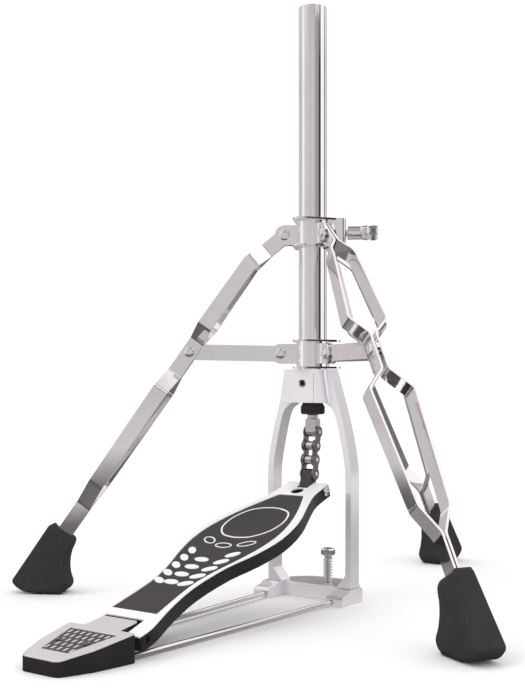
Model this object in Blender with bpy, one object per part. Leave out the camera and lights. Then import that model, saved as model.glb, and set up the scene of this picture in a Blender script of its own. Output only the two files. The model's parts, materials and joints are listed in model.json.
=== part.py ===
"""Hi-hat stand: base tube, folding tripod, arched pedal frame, chain and footboard.

Sizes are in millimetres and are scaled to metres when a mesh is made.
The frame: origin on the floor under the tube axis, +Z up, heel plate towards -Y.
"""
import math

import bmesh
import bpy
from mathutils import Matrix, Vector

MM = 0.001
GAP = 0.3                      # clearance between two pieces that touch
ROUND = 28                     # faces round a large turned piece
SMALL_ROUND = 12               # faces round a rivet, a pin or a hole
SPRING_FACES = 10              # steps in one turn of a spring

# base tube
TUBE_RADIUS = 12.7
TUBE_WALL = 1.6
TUBE_TOP = 534.7

# tripod collars and legs
LEG_AZIMUTHS = {"left": 210.0, "right": 330.0, "rear": 90.0}
UPPER_PIVOT_RADIUS = 25.2
UPPER_PIVOT_HEIGHT = 328.3
LOWER_PIVOT_RADIUS = 28.9
LOWER_PIVOT_HEIGHT = 221.0
BRACE_ALONG = 138.1            # from the upper pivot down the leg to the brace pivot
KNEE_RADIUS = 56.5
KNEE_HEIGHT = 302.5
FOOT_TOP_RADIUS = 229.5        # where the strips enter the foot
FOOT_TOP_HEIGHT = 56.4
FOOT_TOP_HALF_WIDTH = 8.6
FOOT_SOLE_HALF_WIDTH = 13.8
FOOT_TAPER_HEIGHTS = (12.0, 62.0)   # the foot narrows between these heights
STRIP_WIDTH = 14.0
STRIP_THICKNESS = 2.2
STRIP_NIP = 1.6                # sideways offset of a strip where a pair meets
KNEE_BOW = 10.5                # sideways offset where a pair is bowed apart: at the knee,
ABOVE_BRACE_BOW = 18.0         # above the brace,
BELOW_BRACE_BOW = 20.5         # below it,
FOOT_BOW = 14.0                # and above the foot
STRIP_END_DEPTH = 16.0         # how far a strip runs into its foot
BRACE_HEIGHT = 14.4
BRACE_THICKNESS = 3.0
RIVET_RADIUS = 2.5
RIVET_HEAD_RADIUS = 4.9
RIVET_HEAD_HEIGHT = 1.6
COLLAR_WALL = 1.8
COLLAR_HEIGHT = 26.0
COLLAR_DROP = 11.3             # upper collar's lower face below its pivots
COLLAR_LIFT = 0.6              # lower collar's lower face above the frame's socket
FLANGE_CORNER_RADIUS = 25.5
FLANGE_FILLET = 9.0
EAR_RADIUS = 9.0

# wing bolt
WING_AZIMUTH = 30.0
WING_RISE = 1.7                # above the upper pivots
WING_HALF_THICKNESS = 2.6
WING_TURN = 23.0               # how the wings stand at rest
WING_THREAD_RADIUS = 3.0
WING_BARREL_RADIUS = 6.0
WING_LUG_REACH = 30.0
WING_LUG_HALF_WIDTH = 7.5

# pedal frame casting
SOCKET_BOTTOM = 177.0
SOCKET_FLOOR = 6.0
SOCKET_TOP = 207.0
SOCKET_HALF_DEPTH = 17.0
SOCKET_TOP_HALF_WIDTH = 22.3
SOCKET_BOTTOM_HALF_WIDTH = 31.5
FRAME_HALF_WIDTH = 44.4
FRAME_LEG_THICKNESS = 5.5
FRAME_HALF_DEPTH = 7.0
FRAME_SHOULDER_HEIGHT = 118.0
SET_SCREW_RADIUS = 3.0
SET_SCREW_HEIGHT = 194.5
GROOVE_X = 11.9
GROOVE_HALF_WIDTH = 0.5

# base casting and radius rods
BASE_HEIGHT = 12.7
BASE_PLATE_THICKNESS = 3.2
BASE_WALL = 5.0
BASE_BACK = 37.0
BASE_POCKET = 0.86             # size of the hollow under the base against its outline
BLOCK_INNER = 30.5
BLOCK_OUTER = 47.5
BLOCK_FRONT = 26.0
BLOCK_BACK = 8.5
ROD_RADIUS = 2.1
ROD_HEIGHT = 3.6
ROD_BASE_HALF_SPACING = 36.0
ROD_HEEL_HALF_SPACING = 25.5
ROD_SOCKET_DEPTH = 12.0
SPUR_X = 6.8
SPUR_Y = 15.0
SPUR_SHANK_RADIUS = 2.6
SPUR_BOSS_RADIUS = 7.0
SPUR_HEAD_HEIGHT = 6.2
SPUR_HEAD_TOP = 43.7

# roller chain, half inch pitch
CHAIN_PITCH = 12.7
CHAIN_TILTS = (13.5, 6.3, 5.0)  # lean of each link at rest, degrees
CHAIN_TOP_Z = 150.2
CHAIN_PIN_RADIUS = 1.98
CHAIN_PIN_END = 1.1            # how far a pin stands out of its plate
ROLLER_RADIUS = 3.95
ROLLER_HALF_WIDTH = 3.95
LINK_THICKNESS = 1.4
LINK_RADIUS = 5.4
LINK_WAIST = 3.5

# toggle between the chain and the toe pin
TOGGLE_LENGTH = 14.9
TOGGLE_TILT = 19.6
TOGGLE_HALF_WIDTH = 5.35
TOGGLE_RADIUS = 4.6
TOGGLE_SLACK = 1.25            # its upper hole is this much larger than the chain's pin

# footboard, in its own frame: u runs up the board from the hinge axis
BOARD_TOE_U = 270.5
BOARD_HALF_WIDTH = 44.0
BOARD_HEEL_HALF_WIDTH = 32.0
BOARD_TOE_HALF_WIDTH = 21.0
BOARD_TOP = 5.8                # top of the trim above the hinge axis
BOARD_DEPTH = 12.0
BOARD_SKIN = 3.2
BOARD_RIM = 3.0
ARM_END_INSET = 0.6            # the hinge barrels stop this far inside the board's sides
TOE_PIN_U = BOARD_TOE_U - 5.3
TOE_PIN_RISE = 0.8
TOE_PIN_RADIUS = 2.2
THUMB_HOLE_U = BOARD_TOE_U - 19.0
THUMB_HOLE_RADIUS = 6.0
SLOT_END_U = 15.1
PAD_STEP = 0.5                 # the pad lies this far below the trim

# the board leans between its hinge and the pin that the chain holds
CHAIN_END_Y = -sum(CHAIN_PITCH * math.sin(math.radians(tilt)) for tilt in CHAIN_TILTS)
CHAIN_END_Z = CHAIN_TOP_Z - sum(CHAIN_PITCH * math.cos(math.radians(tilt)) for tilt in CHAIN_TILTS)
TOE_Y = CHAIN_END_Y - TOGGLE_LENGTH * math.sin(math.radians(TOGGLE_TILT))
TOE_Z = CHAIN_END_Z - TOGGLE_LENGTH * math.cos(math.radians(TOGGLE_TILT))
HINGE_Z = 14.5
TOE_REACH = math.hypot(TOE_PIN_U, TOE_PIN_RISE)
BOARD_TILT = math.degrees(math.asin((TOE_Z - HINGE_Z) / TOE_REACH) - math.atan2(TOE_PIN_RISE, TOE_PIN_U))
HINGE_Y = TOE_Y - math.sqrt(TOE_REACH ** 2 - (TOE_Z - HINGE_Z) ** 2)
HINGE_PIN_RADIUS = 2.5

# heel plate
HEEL_FRONT_Y = HINGE_Y - 73.0
HEEL_REAR_Y = HINGE_Y - 12.3
HEEL_FRONT_HALF_WIDTH = 18.7
HEEL_REAR_HALF_WIDTH = 32.0
HEEL_REAR_HEIGHT = 21.2
HEEL_SLOPE = 0.161
HEEL_POCKET = 0.84             # size of the hollow under the heel plate against its outline
HEEL_SKIN = 4.5
TONGUE_END_Y = HINGE_Y + 8.0
TONGUE_HALF_WIDTH = 17.0
TONGUE_DROP = 6.5              # underside of the tongue below the hinge axis
COVER_THICKNESS = 1.2
PANEL_FRONT_Y = HINGE_Y - 59.0
PANEL_REAR_Y = HINGE_Y - 20.0
PANEL_FRONT_HALF_WIDTH = 13.0
PANEL_REAR_HALF_WIDTH = 23.0
PANEL_STEP = 0.4
HEEL_SCREW_X = 13.5
HEEL_SCREW_Y = HINGE_Y - 41.0
HEEL_SCREW_RADIUS = 1.6

# pull rod and its return spring
PULL_ROD_RADIUS = 3.0
PULL_ROD_TOP = TUBE_TOP - 14.7
GUIDE_HOLE_RADIUS = 6.3
CLEVIS_HALF_WIDTH = 5.35
CLEVIS_HALF_DEPTH = 4.3
CLEVIS_TOP = CHAIN_TOP_Z + 11.8
STUB_END = CHAIN_TOP_Z + 5.0   # end of the rod's stub inside the clevis
NECK_RADIUS = 5.0
BUMPER_RADIUS = 10.9
BUMPER_HEIGHT = 10.4
SPRING_SEAT_TOP = SOCKET_BOTTOM + 9.3
SPRING_COLLAR_Z = 300.0
SPRING_RADIUS = 8.0
SPRING_WIRE = 0.9
SPRING_TURNS = 7


# ---------------------------------------------------------------- helpers
def clear_scene():
    for item in list(bpy.data.objects):
        bpy.data.objects.remove(item, do_unlink=True)


def material(name, colour, roughness, metallic):
    made = bpy.data.materials.new(name)
    made.use_nodes = True
    shader = made.node_tree.nodes["Principled BSDF"]
    shader.inputs["Base Color"].default_value = (*colour, 1.0)
    shader.inputs["Roughness"].default_value = roughness
    shader.inputs["Metallic"].default_value = metallic
    return made


def pivot(name, place, turn=(0.0, 0.0, 0.0), parent=None):
    """An empty on a joint's axis; its pieces are parented to it."""
    empty = bpy.data.objects.new(name, None)
    bpy.context.collection.objects.link(empty)
    empty.parent = parent
    empty.location = Vector(place) * MM
    empty.rotation_euler = [math.radians(angle) for angle in turn]
    return empty


def to_object(name, shape, finish=None, parent=None, smooth=False):
    """Turn a bmesh in millimetres into a named object in metres."""
    bmesh.ops.recalc_face_normals(shape, faces=shape.faces)
    if shape.calc_volume(signed=True) < 0:
        bmesh.ops.reverse_faces(shape, faces=shape.faces)
    bmesh.ops.scale(shape, vec=(MM, MM, MM), verts=shape.verts)
    mesh = bpy.data.meshes.new(name)
    shape.to_mesh(mesh)
    shape.free()
    if smooth:
        mesh.shade_smooth()
        mesh.set_sharp_from_angle(angle=math.radians(35))
    if finish:
        mesh.materials.append(finish)
    made = bpy.data.objects.new(name, mesh)
    bpy.context.collection.objects.link(made)
    made.parent = parent
    return made


def hide_tool(tool):
    tool.hide_render = True
    tool.display_type = "WIRE"


def combine(target, shape, operation):
    """Add a Boolean of a bmesh given in the target's own frame."""
    tool = to_object(target.name + "_tool", shape, parent=target.parent)
    hide_tool(tool)
    step = target.modifiers.new(operation.lower(), "BOOLEAN")
    step.operation = operation
    step.solver = "EXACT"
    step.object = tool
    return step


def cut(target, shape):
    combine(target, shape, "DIFFERENCE")


def join(target, shape):
    combine(target, shape, "UNION")


def soften(target, width, segments=1):
    step = target.modifiers.new("edges", "BEVEL")
    step.width = width * MM
    step.segments = segments
    step.limit_method = "ANGLE"
    step.angle_limit = math.radians(40)


AXIS_TURNS = {
    "z": Matrix.Identity(4),
    "x": Matrix(((0, 0, 1, 0), (1, 0, 0, 0), (0, 1, 0, 0), (0, 0, 0, 1))),
    "y": Matrix(((0, 1, 0, 0), (0, 0, 1, 0), (1, 0, 0, 0), (0, 0, 0, 1))),
}


def prism(outline, low, high, axis="z"):
    """Extrude a closed outline along an axis.

    The outline's two numbers are (x, y) for z, (y, z) for x and (z, x) for y.
    """
    shape = bmesh.new()
    corners = [shape.verts.new((a, b, low)) for a, b in outline]
    face = shape.faces.new(corners)
    grown = bmesh.ops.extrude_face_region(shape, geom=[face])["geom"]
    lifted = [item for item in grown if isinstance(item, bmesh.types.BMVert)]
    bmesh.ops.translate(shape, vec=(0, 0, high - low), verts=lifted)
    shape.transform(AXIS_TURNS[axis])
    return shape


def block(low, high):
    outline = [(low[0], low[1]), (high[0], low[1]), (high[0], high[1]), (low[0], high[1])]
    return prism(outline, low[2], high[2])


def turned(profile, axis="z", centre=(0, 0, 0), faces=ROUND, closed=False):
    """Spin a profile of (radius, height) points about an axis."""
    shape = bmesh.new()
    points = [shape.verts.new((radius, 0, height)) for radius, height in profile]
    edges = [shape.edges.new(pair) for pair in zip(points, points[1:])]
    if closed:
        edges.append(shape.edges.new((points[-1], points[0])))
    bmesh.ops.spin(shape, geom=points + edges, cent=(0, 0, 0), axis=(0, 0, 1),
                   angle=math.tau, steps=faces, use_duplicate=False)
    bmesh.ops.remove_doubles(shape, verts=shape.verts, dist=0.001)
    shape.transform(AXIS_TURNS[axis])
    bmesh.ops.translate(shape, vec=centre, verts=shape.verts)
    return shape


def rod(radius, low, high, axis="z", centre=(0, 0, 0), faces=SMALL_ROUND):
    return turned([(0, low), (radius, low), (radius, high), (0, high)], axis, centre, faces)


def ring(outer, inner, low, high, axis="z", centre=(0, 0, 0), faces=ROUND):
    profile = [(outer, low), (outer, high), (inner, high), (inner, low)]
    return turned(profile, axis, centre, faces, closed=True)


def arc(centre, radius, start, end, steps):
    """Points on an arc, angles in degrees."""
    points = []
    for step in range(steps + 1):
        angle = math.radians(start + (end - start) * step / steps)
        points.append((centre[0] + radius * math.cos(angle), centre[1] + radius * math.sin(angle)))
    return points


def smooth_curve(points, per_span):
    """A Catmull-Rom curve through points."""
    ends = [points[0]] + list(points) + [points[-1]]
    curve = []
    for index in range(1, len(ends) - 2):
        before, first, second, after = ends[index - 1:index + 3]
        for step in range(per_span):
            t = step / per_span
            curve.append(tuple(
                0.5 * (2 * b + (c - a) * t + (2 * a - 5 * b + 4 * c - d) * t * t
                       + (3 * b - a - 3 * c + d) * t ** 3)
                for a, b, c, d in zip(before, first, second, after)))
    curve.append(tuple(points[-1]))
    return curve


def both_sides(half):
    """Mirror a list of (x, y) points on the right side to a closed outline."""
    return list(half) + [(-x, y) for x, y in reversed(half)]


def rod_between(start, end, radius, faces=SMALL_ROUND, extra=0.0):
    """A cylinder between two points, each end pushed out by extra."""
    start, end = Vector(start), Vector(end)
    along = end - start
    shape = rod(radius, -extra, along.length + extra, faces=faces)
    turn = Vector((0, 0, 1)).rotation_difference(along.normalized())
    shape.transform(Matrix.Translation(start) @ turn.to_matrix().to_4x4())
    return shape


def rivet_profile(reach):
    """A rivet with a domed head outside each face at +-reach."""
    dome = [(RIVET_HEAD_RADIUS, reach),
            (RIVET_HEAD_RADIUS * 0.82, reach + RIVET_HEAD_HEIGHT * 0.75),
            (0, reach + RIVET_HEAD_HEIGHT)]
    lower = [(radius, -height) for radius, height in reversed(dome)]
    return lower + [(RIVET_RADIUS, -reach), (RIVET_RADIUS, reach)] + dome


# ---------------------------------------------------------------- tube and pull rod
def make_tube(chrome):
    bottom = SOCKET_BOTTOM + SOCKET_FLOOR + GAP
    to_object("base_tube", ring(TUBE_RADIUS, TUBE_RADIUS - TUBE_WALL, bottom, TUBE_TOP),
              chrome, smooth=True)


def make_guide_bush(plastic):
    bore = PULL_ROD_RADIUS + GAP
    flange = TUBE_RADIUS - TUBE_WALL - GAP
    shoulder = SOCKET_BOTTOM + SOCKET_FLOOR + GAP
    profile = [(bore, SOCKET_BOTTOM + GAP), (bore, SPRING_SEAT_TOP), (flange, SPRING_SEAT_TOP),
               (flange, shoulder), (GUIDE_HOLE_RADIUS - GAP, shoulder),
               (GUIDE_HOLE_RADIUS - GAP, SOCKET_BOTTOM + GAP)]
    to_object("guide_bush", turned(profile, closed=True, faces=24), plastic, smooth=True)


def make_pull_rod(steel, parent):
    """The rod with its spring collar, neck and the stub that screws into the clevis."""
    bumper_top = SOCKET_BOTTOM - GAP
    neck_top = bumper_top - BUMPER_HEIGHT - GAP
    collar_radius = TUBE_RADIUS - TUBE_WALL - 1.3
    profile = [(0, STUB_END), (PULL_ROD_RADIUS, STUB_END), (PULL_ROD_RADIUS, CLEVIS_TOP + GAP),
               (NECK_RADIUS, CLEVIS_TOP + GAP), (NECK_RADIUS, neck_top), (PULL_ROD_RADIUS, neck_top),
               (PULL_ROD_RADIUS, SPRING_COLLAR_Z), (collar_radius, SPRING_COLLAR_Z),
               (collar_radius, SPRING_COLLAR_Z + 4.0), (PULL_ROD_RADIUS, SPRING_COLLAR_Z + 4.0),
               (PULL_ROD_RADIUS, PULL_ROD_TOP), (0, PULL_ROD_TOP)]
    local = [(radius, height - CHAIN_TOP_Z) for radius, height in profile]
    to_object("pull_rod", turned(local, faces=20), steel, parent, smooth=True)


def make_bumper(rubber, parent):
    top = SOCKET_BOTTOM - GAP - CHAIN_TOP_Z
    low = top - BUMPER_HEIGHT
    edge = 0.9
    step = 1.2
    inner = PULL_ROD_RADIUS + GAP
    profile = [(inner, low), (BUMPER_RADIUS - edge, low), (BUMPER_RADIUS, low + edge),
               (BUMPER_RADIUS, top - edge - step), (BUMPER_RADIUS - step, top - edge),
               (BUMPER_RADIUS - step, top), (inner, top)]
    to_object("stop_bumper", turned(profile, closed=True), rubber, parent, smooth=True)


def make_clevis(steel, parent):
    """A block between the first chain plates, screwed on the rod's stub."""
    top = CLEVIS_TOP - CHAIN_TOP_Z
    outline = [(CLEVIS_HALF_DEPTH, 0), (CLEVIS_HALF_DEPTH, top), (-CLEVIS_HALF_DEPTH, top)]
    outline += arc((0, 0), CLEVIS_HALF_DEPTH, 180, 360, 8)[:-1]
    shape = prism(outline, -CLEVIS_HALF_WIDTH, CLEVIS_HALF_WIDTH, "x")
    made = to_object("clevis", shape, steel, parent)
    cut(made, rod(CHAIN_PIN_RADIUS + GAP, -CLEVIS_HALF_WIDTH - 1, CLEVIS_HALF_WIDTH + 1, "x"))
    cut(made, rod(PULL_ROD_RADIUS + GAP, STUB_END - 0.4 - CHAIN_TOP_Z, top + 1))


def spring_points(low, high, radius, turns):
    points = []
    count = turns * SPRING_FACES
    for step in range(count + 1):
        share = step / count
        angle = math.tau * turns * share
        points.append((radius * math.cos(angle), radius * math.sin(angle), low + (high - low) * share))
    return points


def make_spring(name, finish, centre, low, high, radius, wire, turns):
    curve = bpy.data.curves.new(name, "CURVE")
    curve.dimensions = "3D"
    curve.bevel_depth = wire * MM
    curve.bevel_resolution = 0
    curve.use_fill_caps = True
    line = curve.splines.new("POLY")
    points = spring_points(low + wire + GAP, high - wire - GAP, radius, turns)
    line.points.add(len(points) - 1)
    for slot, point in zip(line.points, points):
        slot.co = (*(Vector(point) * MM), 1.0)
    curve.materials.append(finish)
    made = bpy.data.objects.new(name, curve)
    made.location = Vector(centre) * MM
    bpy.context.collection.objects.link(made)


# ---------------------------------------------------------------- tripod
def flange_outline():
    """A triangle with round corners, one corner midway between each two legs."""
    corner = FLANGE_CORNER_RADIUS - FLANGE_FILLET
    outline = []
    for azimuth in (30.0, 150.0, 270.0):
        angle = math.radians(azimuth)
        centre = (corner * math.cos(angle), corner * math.sin(angle))
        outline += arc(centre, FLANGE_FILLET, azimuth - 60, azimuth + 60, 4)
    return outline


def ear_shape(pivot_radius, inner_face, height, azimuth):
    """One ear plate beside a leg's plane; its free end is round about the pivot."""
    outer_face = inner_face + math.copysign(COLLAR_WALL, inner_face)
    root = TUBE_RADIUS + COLLAR_WALL * 0.5
    # prism along y reads (z, x): height first, then radius
    outline = [(height - EAR_RADIUS, root)]
    outline += arc((height, pivot_radius), EAR_RADIUS, 180, 0, 8)
    outline += [(height + EAR_RADIUS, root)]
    shape = prism(outline, min(inner_face, outer_face), max(inner_face, outer_face), "y")
    shape.transform(Matrix.Rotation(math.radians(azimuth), 4, "Z"))
    return shape


def make_collar(name, chrome, parent, low, pivot_radius, ear_face):
    """A spool round the tube with three pairs of ears; heights are from the pivot level."""
    bore = TUBE_RADIUS + GAP
    band = bore + COLLAR_WALL
    high = low + COLLAR_HEIGHT
    inset = COLLAR_WALL / 3
    made = to_object(name, ring(band, bore - 1.0, low + inset, high - inset), chrome, parent)
    join(made, prism(flange_outline(), low, low + COLLAR_WALL))
    join(made, prism(flange_outline(), high - COLLAR_WALL, high))
    for azimuth in LEG_AZIMUTHS.values():
        for face in (ear_face, -ear_face):
            join(made, ear_shape(pivot_radius, face, 0.0, azimuth))
    return made


def drill_collar(made, pivot_radius, low):
    """Bore the collar for the tube and its ears for the rivets."""
    cut(made, rod(TUBE_RADIUS + GAP, low - 1, low + COLLAR_HEIGHT + 1, faces=ROUND))
    for azimuth in LEG_AZIMUTHS.values():
        hole = rod(RIVET_RADIUS + GAP * 0.5, -10, 10, "y", (pivot_radius, 0, 0))
        hole.transform(Matrix.Rotation(math.radians(azimuth), 4, "Z"))
        cut(made, hole)


def make_collar_rivets(name, steel, parent, pivot_radius, ear_face):
    reach = ear_face + COLLAR_WALL + GAP * 0.5
    for side, azimuth in LEG_AZIMUTHS.items():
        shape = turned(rivet_profile(reach), "y", (pivot_radius, 0, 0), SMALL_ROUND)
        shape.transform(Matrix.Rotation(math.radians(azimuth), 4, "Z"))
        to_object(f"{name}_{side}", shape, steel, parent, smooth=True)


def upper_ear_face():
    return STRIP_NIP + STRIP_THICKNESS / 2 + GAP + 0.1


def lower_ear_face():
    return BRACE_THICKNESS / 2 + GAP


def brace_strip_offset():
    """Sideways offset of a strip at the brace pivot, where the brace lies between the pair."""
    return BRACE_THICKNESS / 2 + GAP + STRIP_THICKNESS / 2


def make_upper_collar(chrome, parent):
    low = -COLLAR_DROP
    made = make_collar("upper_collar", chrome, parent, low, UPPER_PIVOT_RADIUS, upper_ear_face())
    turn = Matrix.Rotation(math.radians(WING_AZIMUTH), 4, "Z")
    lug = block((TUBE_RADIUS + 1.0, -WING_LUG_HALF_WIDTH, low),
                (WING_LUG_REACH, WING_LUG_HALF_WIDTH, low + COLLAR_HEIGHT))
    edges = [edge for edge in lug.edges
             if all(vert.co.x > WING_LUG_REACH - 0.1 for vert in edge.verts)]
    bmesh.ops.bevel(lug, geom=edges, offset=3.0, segments=3, affect="EDGES", profile=0.5)
    lug.transform(turn)
    join(made, lug)
    drill_collar(made, UPPER_PIVOT_RADIUS, low)
    hole = rod(WING_THREAD_RADIUS + GAP, TUBE_RADIUS - 2, WING_LUG_REACH + 2, "x",
               (0, 0, WING_RISE))
    hole.transform(turn)
    cut(made, hole)


def make_wing_bolt(chrome, parent):
    """Threaded shaft, barrel and a pair of wings, along x from the tube's side."""
    tip = TUBE_RADIUS + GAP
    seat = WING_LUG_REACH + 1.2
    barrel_end = seat + 12.5
    hub_end = barrel_end + 6.0
    profile = [(0, tip), (WING_THREAD_RADIUS, tip), (WING_THREAD_RADIUS, seat),
               (WING_BARREL_RADIUS, seat), (WING_BARREL_RADIUS, barrel_end),
               (WING_BARREL_RADIUS + 0.8, hub_end), (WING_BARREL_RADIUS - 1, hub_end + 1.5),
               (0, hub_end + 1.5)]
    made = to_object("wing_bolt", turned(profile, "x", faces=24), chrome, parent, smooth=True)
    root = barrel_end - 1.0
    tip_x = hub_end + 9.0
    lobe = 4.2
    for side in (1, -1):
        # prism along z reads (x, y)
        outline = [(root, 0), (root, side * 4.0), (hub_end, side * 11.0)]
        outline += arc((tip_x - lobe, side * 11.2), lobe, 120 * side, -60 * side, 6)
        outline += [(hub_end + 0.5, side * 3.0), (hub_end, 0)]
        wing = prism(outline, -WING_HALF_THICKNESS, WING_HALF_THICKNESS)
        wing.transform(Matrix.Rotation(math.radians(WING_TURN), 4, "X"))
        join(made, wing)


def leg_centre(along):
    """Radius and height on a leg's centre line, and the unit vector across its width."""
    top = Vector((UPPER_PIVOT_RADIUS, UPPER_PIVOT_HEIGHT))
    knee = Vector((KNEE_RADIUS, KNEE_HEIGHT))
    foot = Vector((FOOT_TOP_RADIUS, FOOT_TOP_HEIGHT))
    first = (knee - top)
    second = (foot - knee)
    across_first = Vector((-first.y, first.x)).normalized()
    across_second = Vector((-second.y, second.x)).normalized()
    if abs(along - first.length) < 0.01:
        across = (across_first + across_second).normalized()
        across = across / across.dot(across_first)
        return knee, across
    if along < first.length:
        return top + first.normalized() * along, across_first
    return knee + second.normalized() * (along - first.length), across_second


def leg_lengths():
    """Distances from the upper pivot to the knee and the foot's top, along the leg."""
    top = Vector((UPPER_PIVOT_RADIUS, UPPER_PIVOT_HEIGHT))
    knee = Vector((KNEE_RADIUS, KNEE_HEIGHT))
    foot = Vector((FOOT_TOP_RADIUS, FOOT_TOP_HEIGHT))
    to_knee = (knee - top).length
    return to_knee, to_knee + (foot - knee).length


def brace_pivot():
    """Radius and height of the pivot between a leg and its brace."""
    return leg_centre(BRACE_ALONG)[0]


def strip_route():
    """Stations (distance along the leg, sideways offset) of a strip's middle."""
    knee, foot = leg_lengths()
    brace = BRACE_ALONG
    nip = STRIP_NIP
    held = brace_strip_offset()
    knee_bow = KNEE_BOW + (ABOVE_BRACE_BOW - KNEE_BOW) * 5.5 / (brace - 28.0 - knee + 5.5)
    return [(0.0, nip), (21.5, nip), (knee - 5.5, KNEE_BOW), (knee, knee_bow),
            (brace - 28.0, ABOVE_BRACE_BOW), (brace - 13.0, held), (brace + 23.0, held),
            (brace + 42.0, BELOW_BRACE_BOW), (foot - 55.0, FOOT_BOW), (foot - 32.0, nip),
            (foot + STRIP_END_DEPTH, nip)]


def offset_route(route, distance):
    """Move each station of a route sideways by a distance, mitred at its bends."""
    moved = []
    for index, point in enumerate(route):
        here = Vector(point)
        before = (here - Vector(route[index - 1])).normalized() if index else None
        after = (Vector(route[index + 1]) - here).normalized() if index + 1 < len(route) else None
        if before is None:
            before = after
        if after is None:
            after = before
        normal_before = Vector((-before.y, before.x))
        normal = (normal_before + Vector((-after.y, after.x))).normalized()
        moved.append(here + normal * distance / normal.dot(normal_before))
    return moved


def make_strip(name, chrome, parent, side):
    """One flat bowed strip, built about the upper pivot in the leg's own frame."""
    half = STRIP_WIDTH / 2
    route = strip_route()
    inner = offset_route(route, -STRIP_THICKNESS / 2)
    outer = offset_route(route, STRIP_THICKNESS / 2)
    stations = []
    for step in range(5):
        angle = math.radians(8 + 82 * step / 5)
        reach = -half * math.cos(angle)
        stations.append((reach, STRIP_NIP - STRIP_THICKNESS / 2, reach, STRIP_NIP + STRIP_THICKNESS / 2,
                         half * math.sin(angle)))
    stations += [(a.x, a.y, b.x, b.y, half) for a, b in zip(inner, outer)]
    shape = bmesh.new()
    rows = []
    for along_in, off_in, along_out, off_out, width in stations:
        row = []
        for along, off, sign in ((along_in, off_in, -1), (along_in, off_in, 1),
                                 (along_out, off_out, 1), (along_out, off_out, -1)):
            centre, across = leg_centre(along)
            spot = centre + across * width * sign
            row.append(shape.verts.new((spot.x - UPPER_PIVOT_RADIUS, side * off,
                                        spot.y - UPPER_PIVOT_HEIGHT)))
        rows.append(row)
    for first, second in zip(rows, rows[1:]):
        for corner in range(4):
            following = (corner + 1) % 4
            shape.faces.new((first[corner], first[following], second[following], second[corner]))
    shape.faces.new(rows[0])
    shape.faces.new(rows[-1])
    made = to_object(name, shape, chrome, parent)
    span = (side * (BELOW_BRACE_BOW + 5), 0)
    cut(made, rod(RIVET_RADIUS + GAP * 0.5, min(span), max(span), "y"))
    brace = brace_pivot()
    cut(made, rod(RIVET_RADIUS + GAP * 0.5, min(span), max(span), "y",
                  (brace.x - UPPER_PIVOT_RADIUS, 0, brace.y - UPPER_PIVOT_HEIGHT)))


def make_brace_rivet(name, steel, parent, side):
    """Half a rivet: its head outside one strip and a shank that ends at the strip's inner face."""
    inner = BRACE_THICKNESS / 2 + GAP + 0.1
    outer = brace_strip_offset() + STRIP_THICKNESS / 2 + GAP * 0.5
    profile = [(0, inner), (RIVET_RADIUS, inner), (RIVET_RADIUS, outer)]
    profile += [(RIVET_HEAD_RADIUS, outer),
                (RIVET_HEAD_RADIUS * 0.82, outer + RIVET_HEAD_HEIGHT * 0.75),
                (0, outer + RIVET_HEAD_HEIGHT)]
    brace = brace_pivot()
    shape = turned([(radius, side * height) for radius, height in profile], "y",
                   (brace.x - UPPER_PIVOT_RADIUS, 0, brace.y - UPPER_PIVOT_HEIGHT), SMALL_ROUND)
    to_object(name, shape, steel, parent, smooth=True)


def foot_outline():
    """A foot seen from the side, as (height, radius) from the upper pivot."""
    outer = [(28.5, 0.0), (42.5, 5.0), (47.5, 11.5), (46.0, 15.0), (14.5, 62.0), (11.0, 64.0), (9.0, 61.0)]
    inner = [(-7.0, 51.5), (-8.5, 48.0), (-4.0, 38.0), (-2.0, 28.0), (-2.5, 18.0), (-5.0, 10.0),
             (-4.0, 6.0), (2.0, 0.0)]
    start = FOOT_TOP_RADIUS - UPPER_PIVOT_RADIUS
    return [(height - UPPER_PIVOT_HEIGHT, start + reach) for reach, height in outer + inner]


def foot_half_width(height):
    low, high = FOOT_TAPER_HEIGHTS
    share = min(max((height - low) / (high - low), 0.0), 1.0)
    return FOOT_SOLE_HALF_WIDTH + (FOOT_TOP_HALF_WIDTH - FOOT_SOLE_HALF_WIDTH) * share


def make_foot(name, rubber, parent):
    shape = prism(foot_outline(), -1.0, 1.0, "y")
    for vert in shape.verts:
        vert.co.y *= foot_half_width(vert.co.z + UPPER_PIVOT_HEIGHT)
    made = to_object(name, shape, rubber, parent)
    soften(made, 1.6)
    centre, across = leg_centre(leg_lengths()[1] + STRIP_END_DEPTH / 2)
    along = Vector((across.y, -across.x))
    half_width = STRIP_WIDTH / 2 + GAP
    half_gap = STRIP_NIP + STRIP_THICKNESS / 2 + GAP
    reach = STRIP_END_DEPTH / 2
    corners = []
    for a, b in ((-reach - 14, -1), (-reach - 14, 1), (reach + GAP, 1), (reach + GAP, -1)):
        spot = centre + along * a + across * half_width * b
        corners.append((spot.y - UPPER_PIVOT_HEIGHT, spot.x - UPPER_PIVOT_RADIUS))
    cut(made, prism(corners, -half_gap, half_gap, "y"))


def make_brace(name, chrome, parent):
    """A flat bar from the lower collar's ear to the leg, about the lower pivot."""
    reach = brace_pivot().x - LOWER_PIVOT_RADIUS
    rise = brace_pivot().y - LOWER_PIVOT_HEIGHT
    angle = math.degrees(math.atan2(reach, rise))
    radius = BRACE_HEIGHT / 2
    outline = arc((rise, reach), radius, angle + 90, angle - 90, 8)
    outline += arc((0, 0), radius, angle - 90, angle - 270, 8)
    shape = prism(outline, -BRACE_THICKNESS / 2, BRACE_THICKNESS / 2, "y")
    made = to_object(name, shape, chrome, parent)
    for place in ((0, 0, 0), (reach, 0, rise)):
        cut(made, rod(RIVET_RADIUS + GAP, -BRACE_THICKNESS, BRACE_THICKNESS, "y", place))


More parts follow.
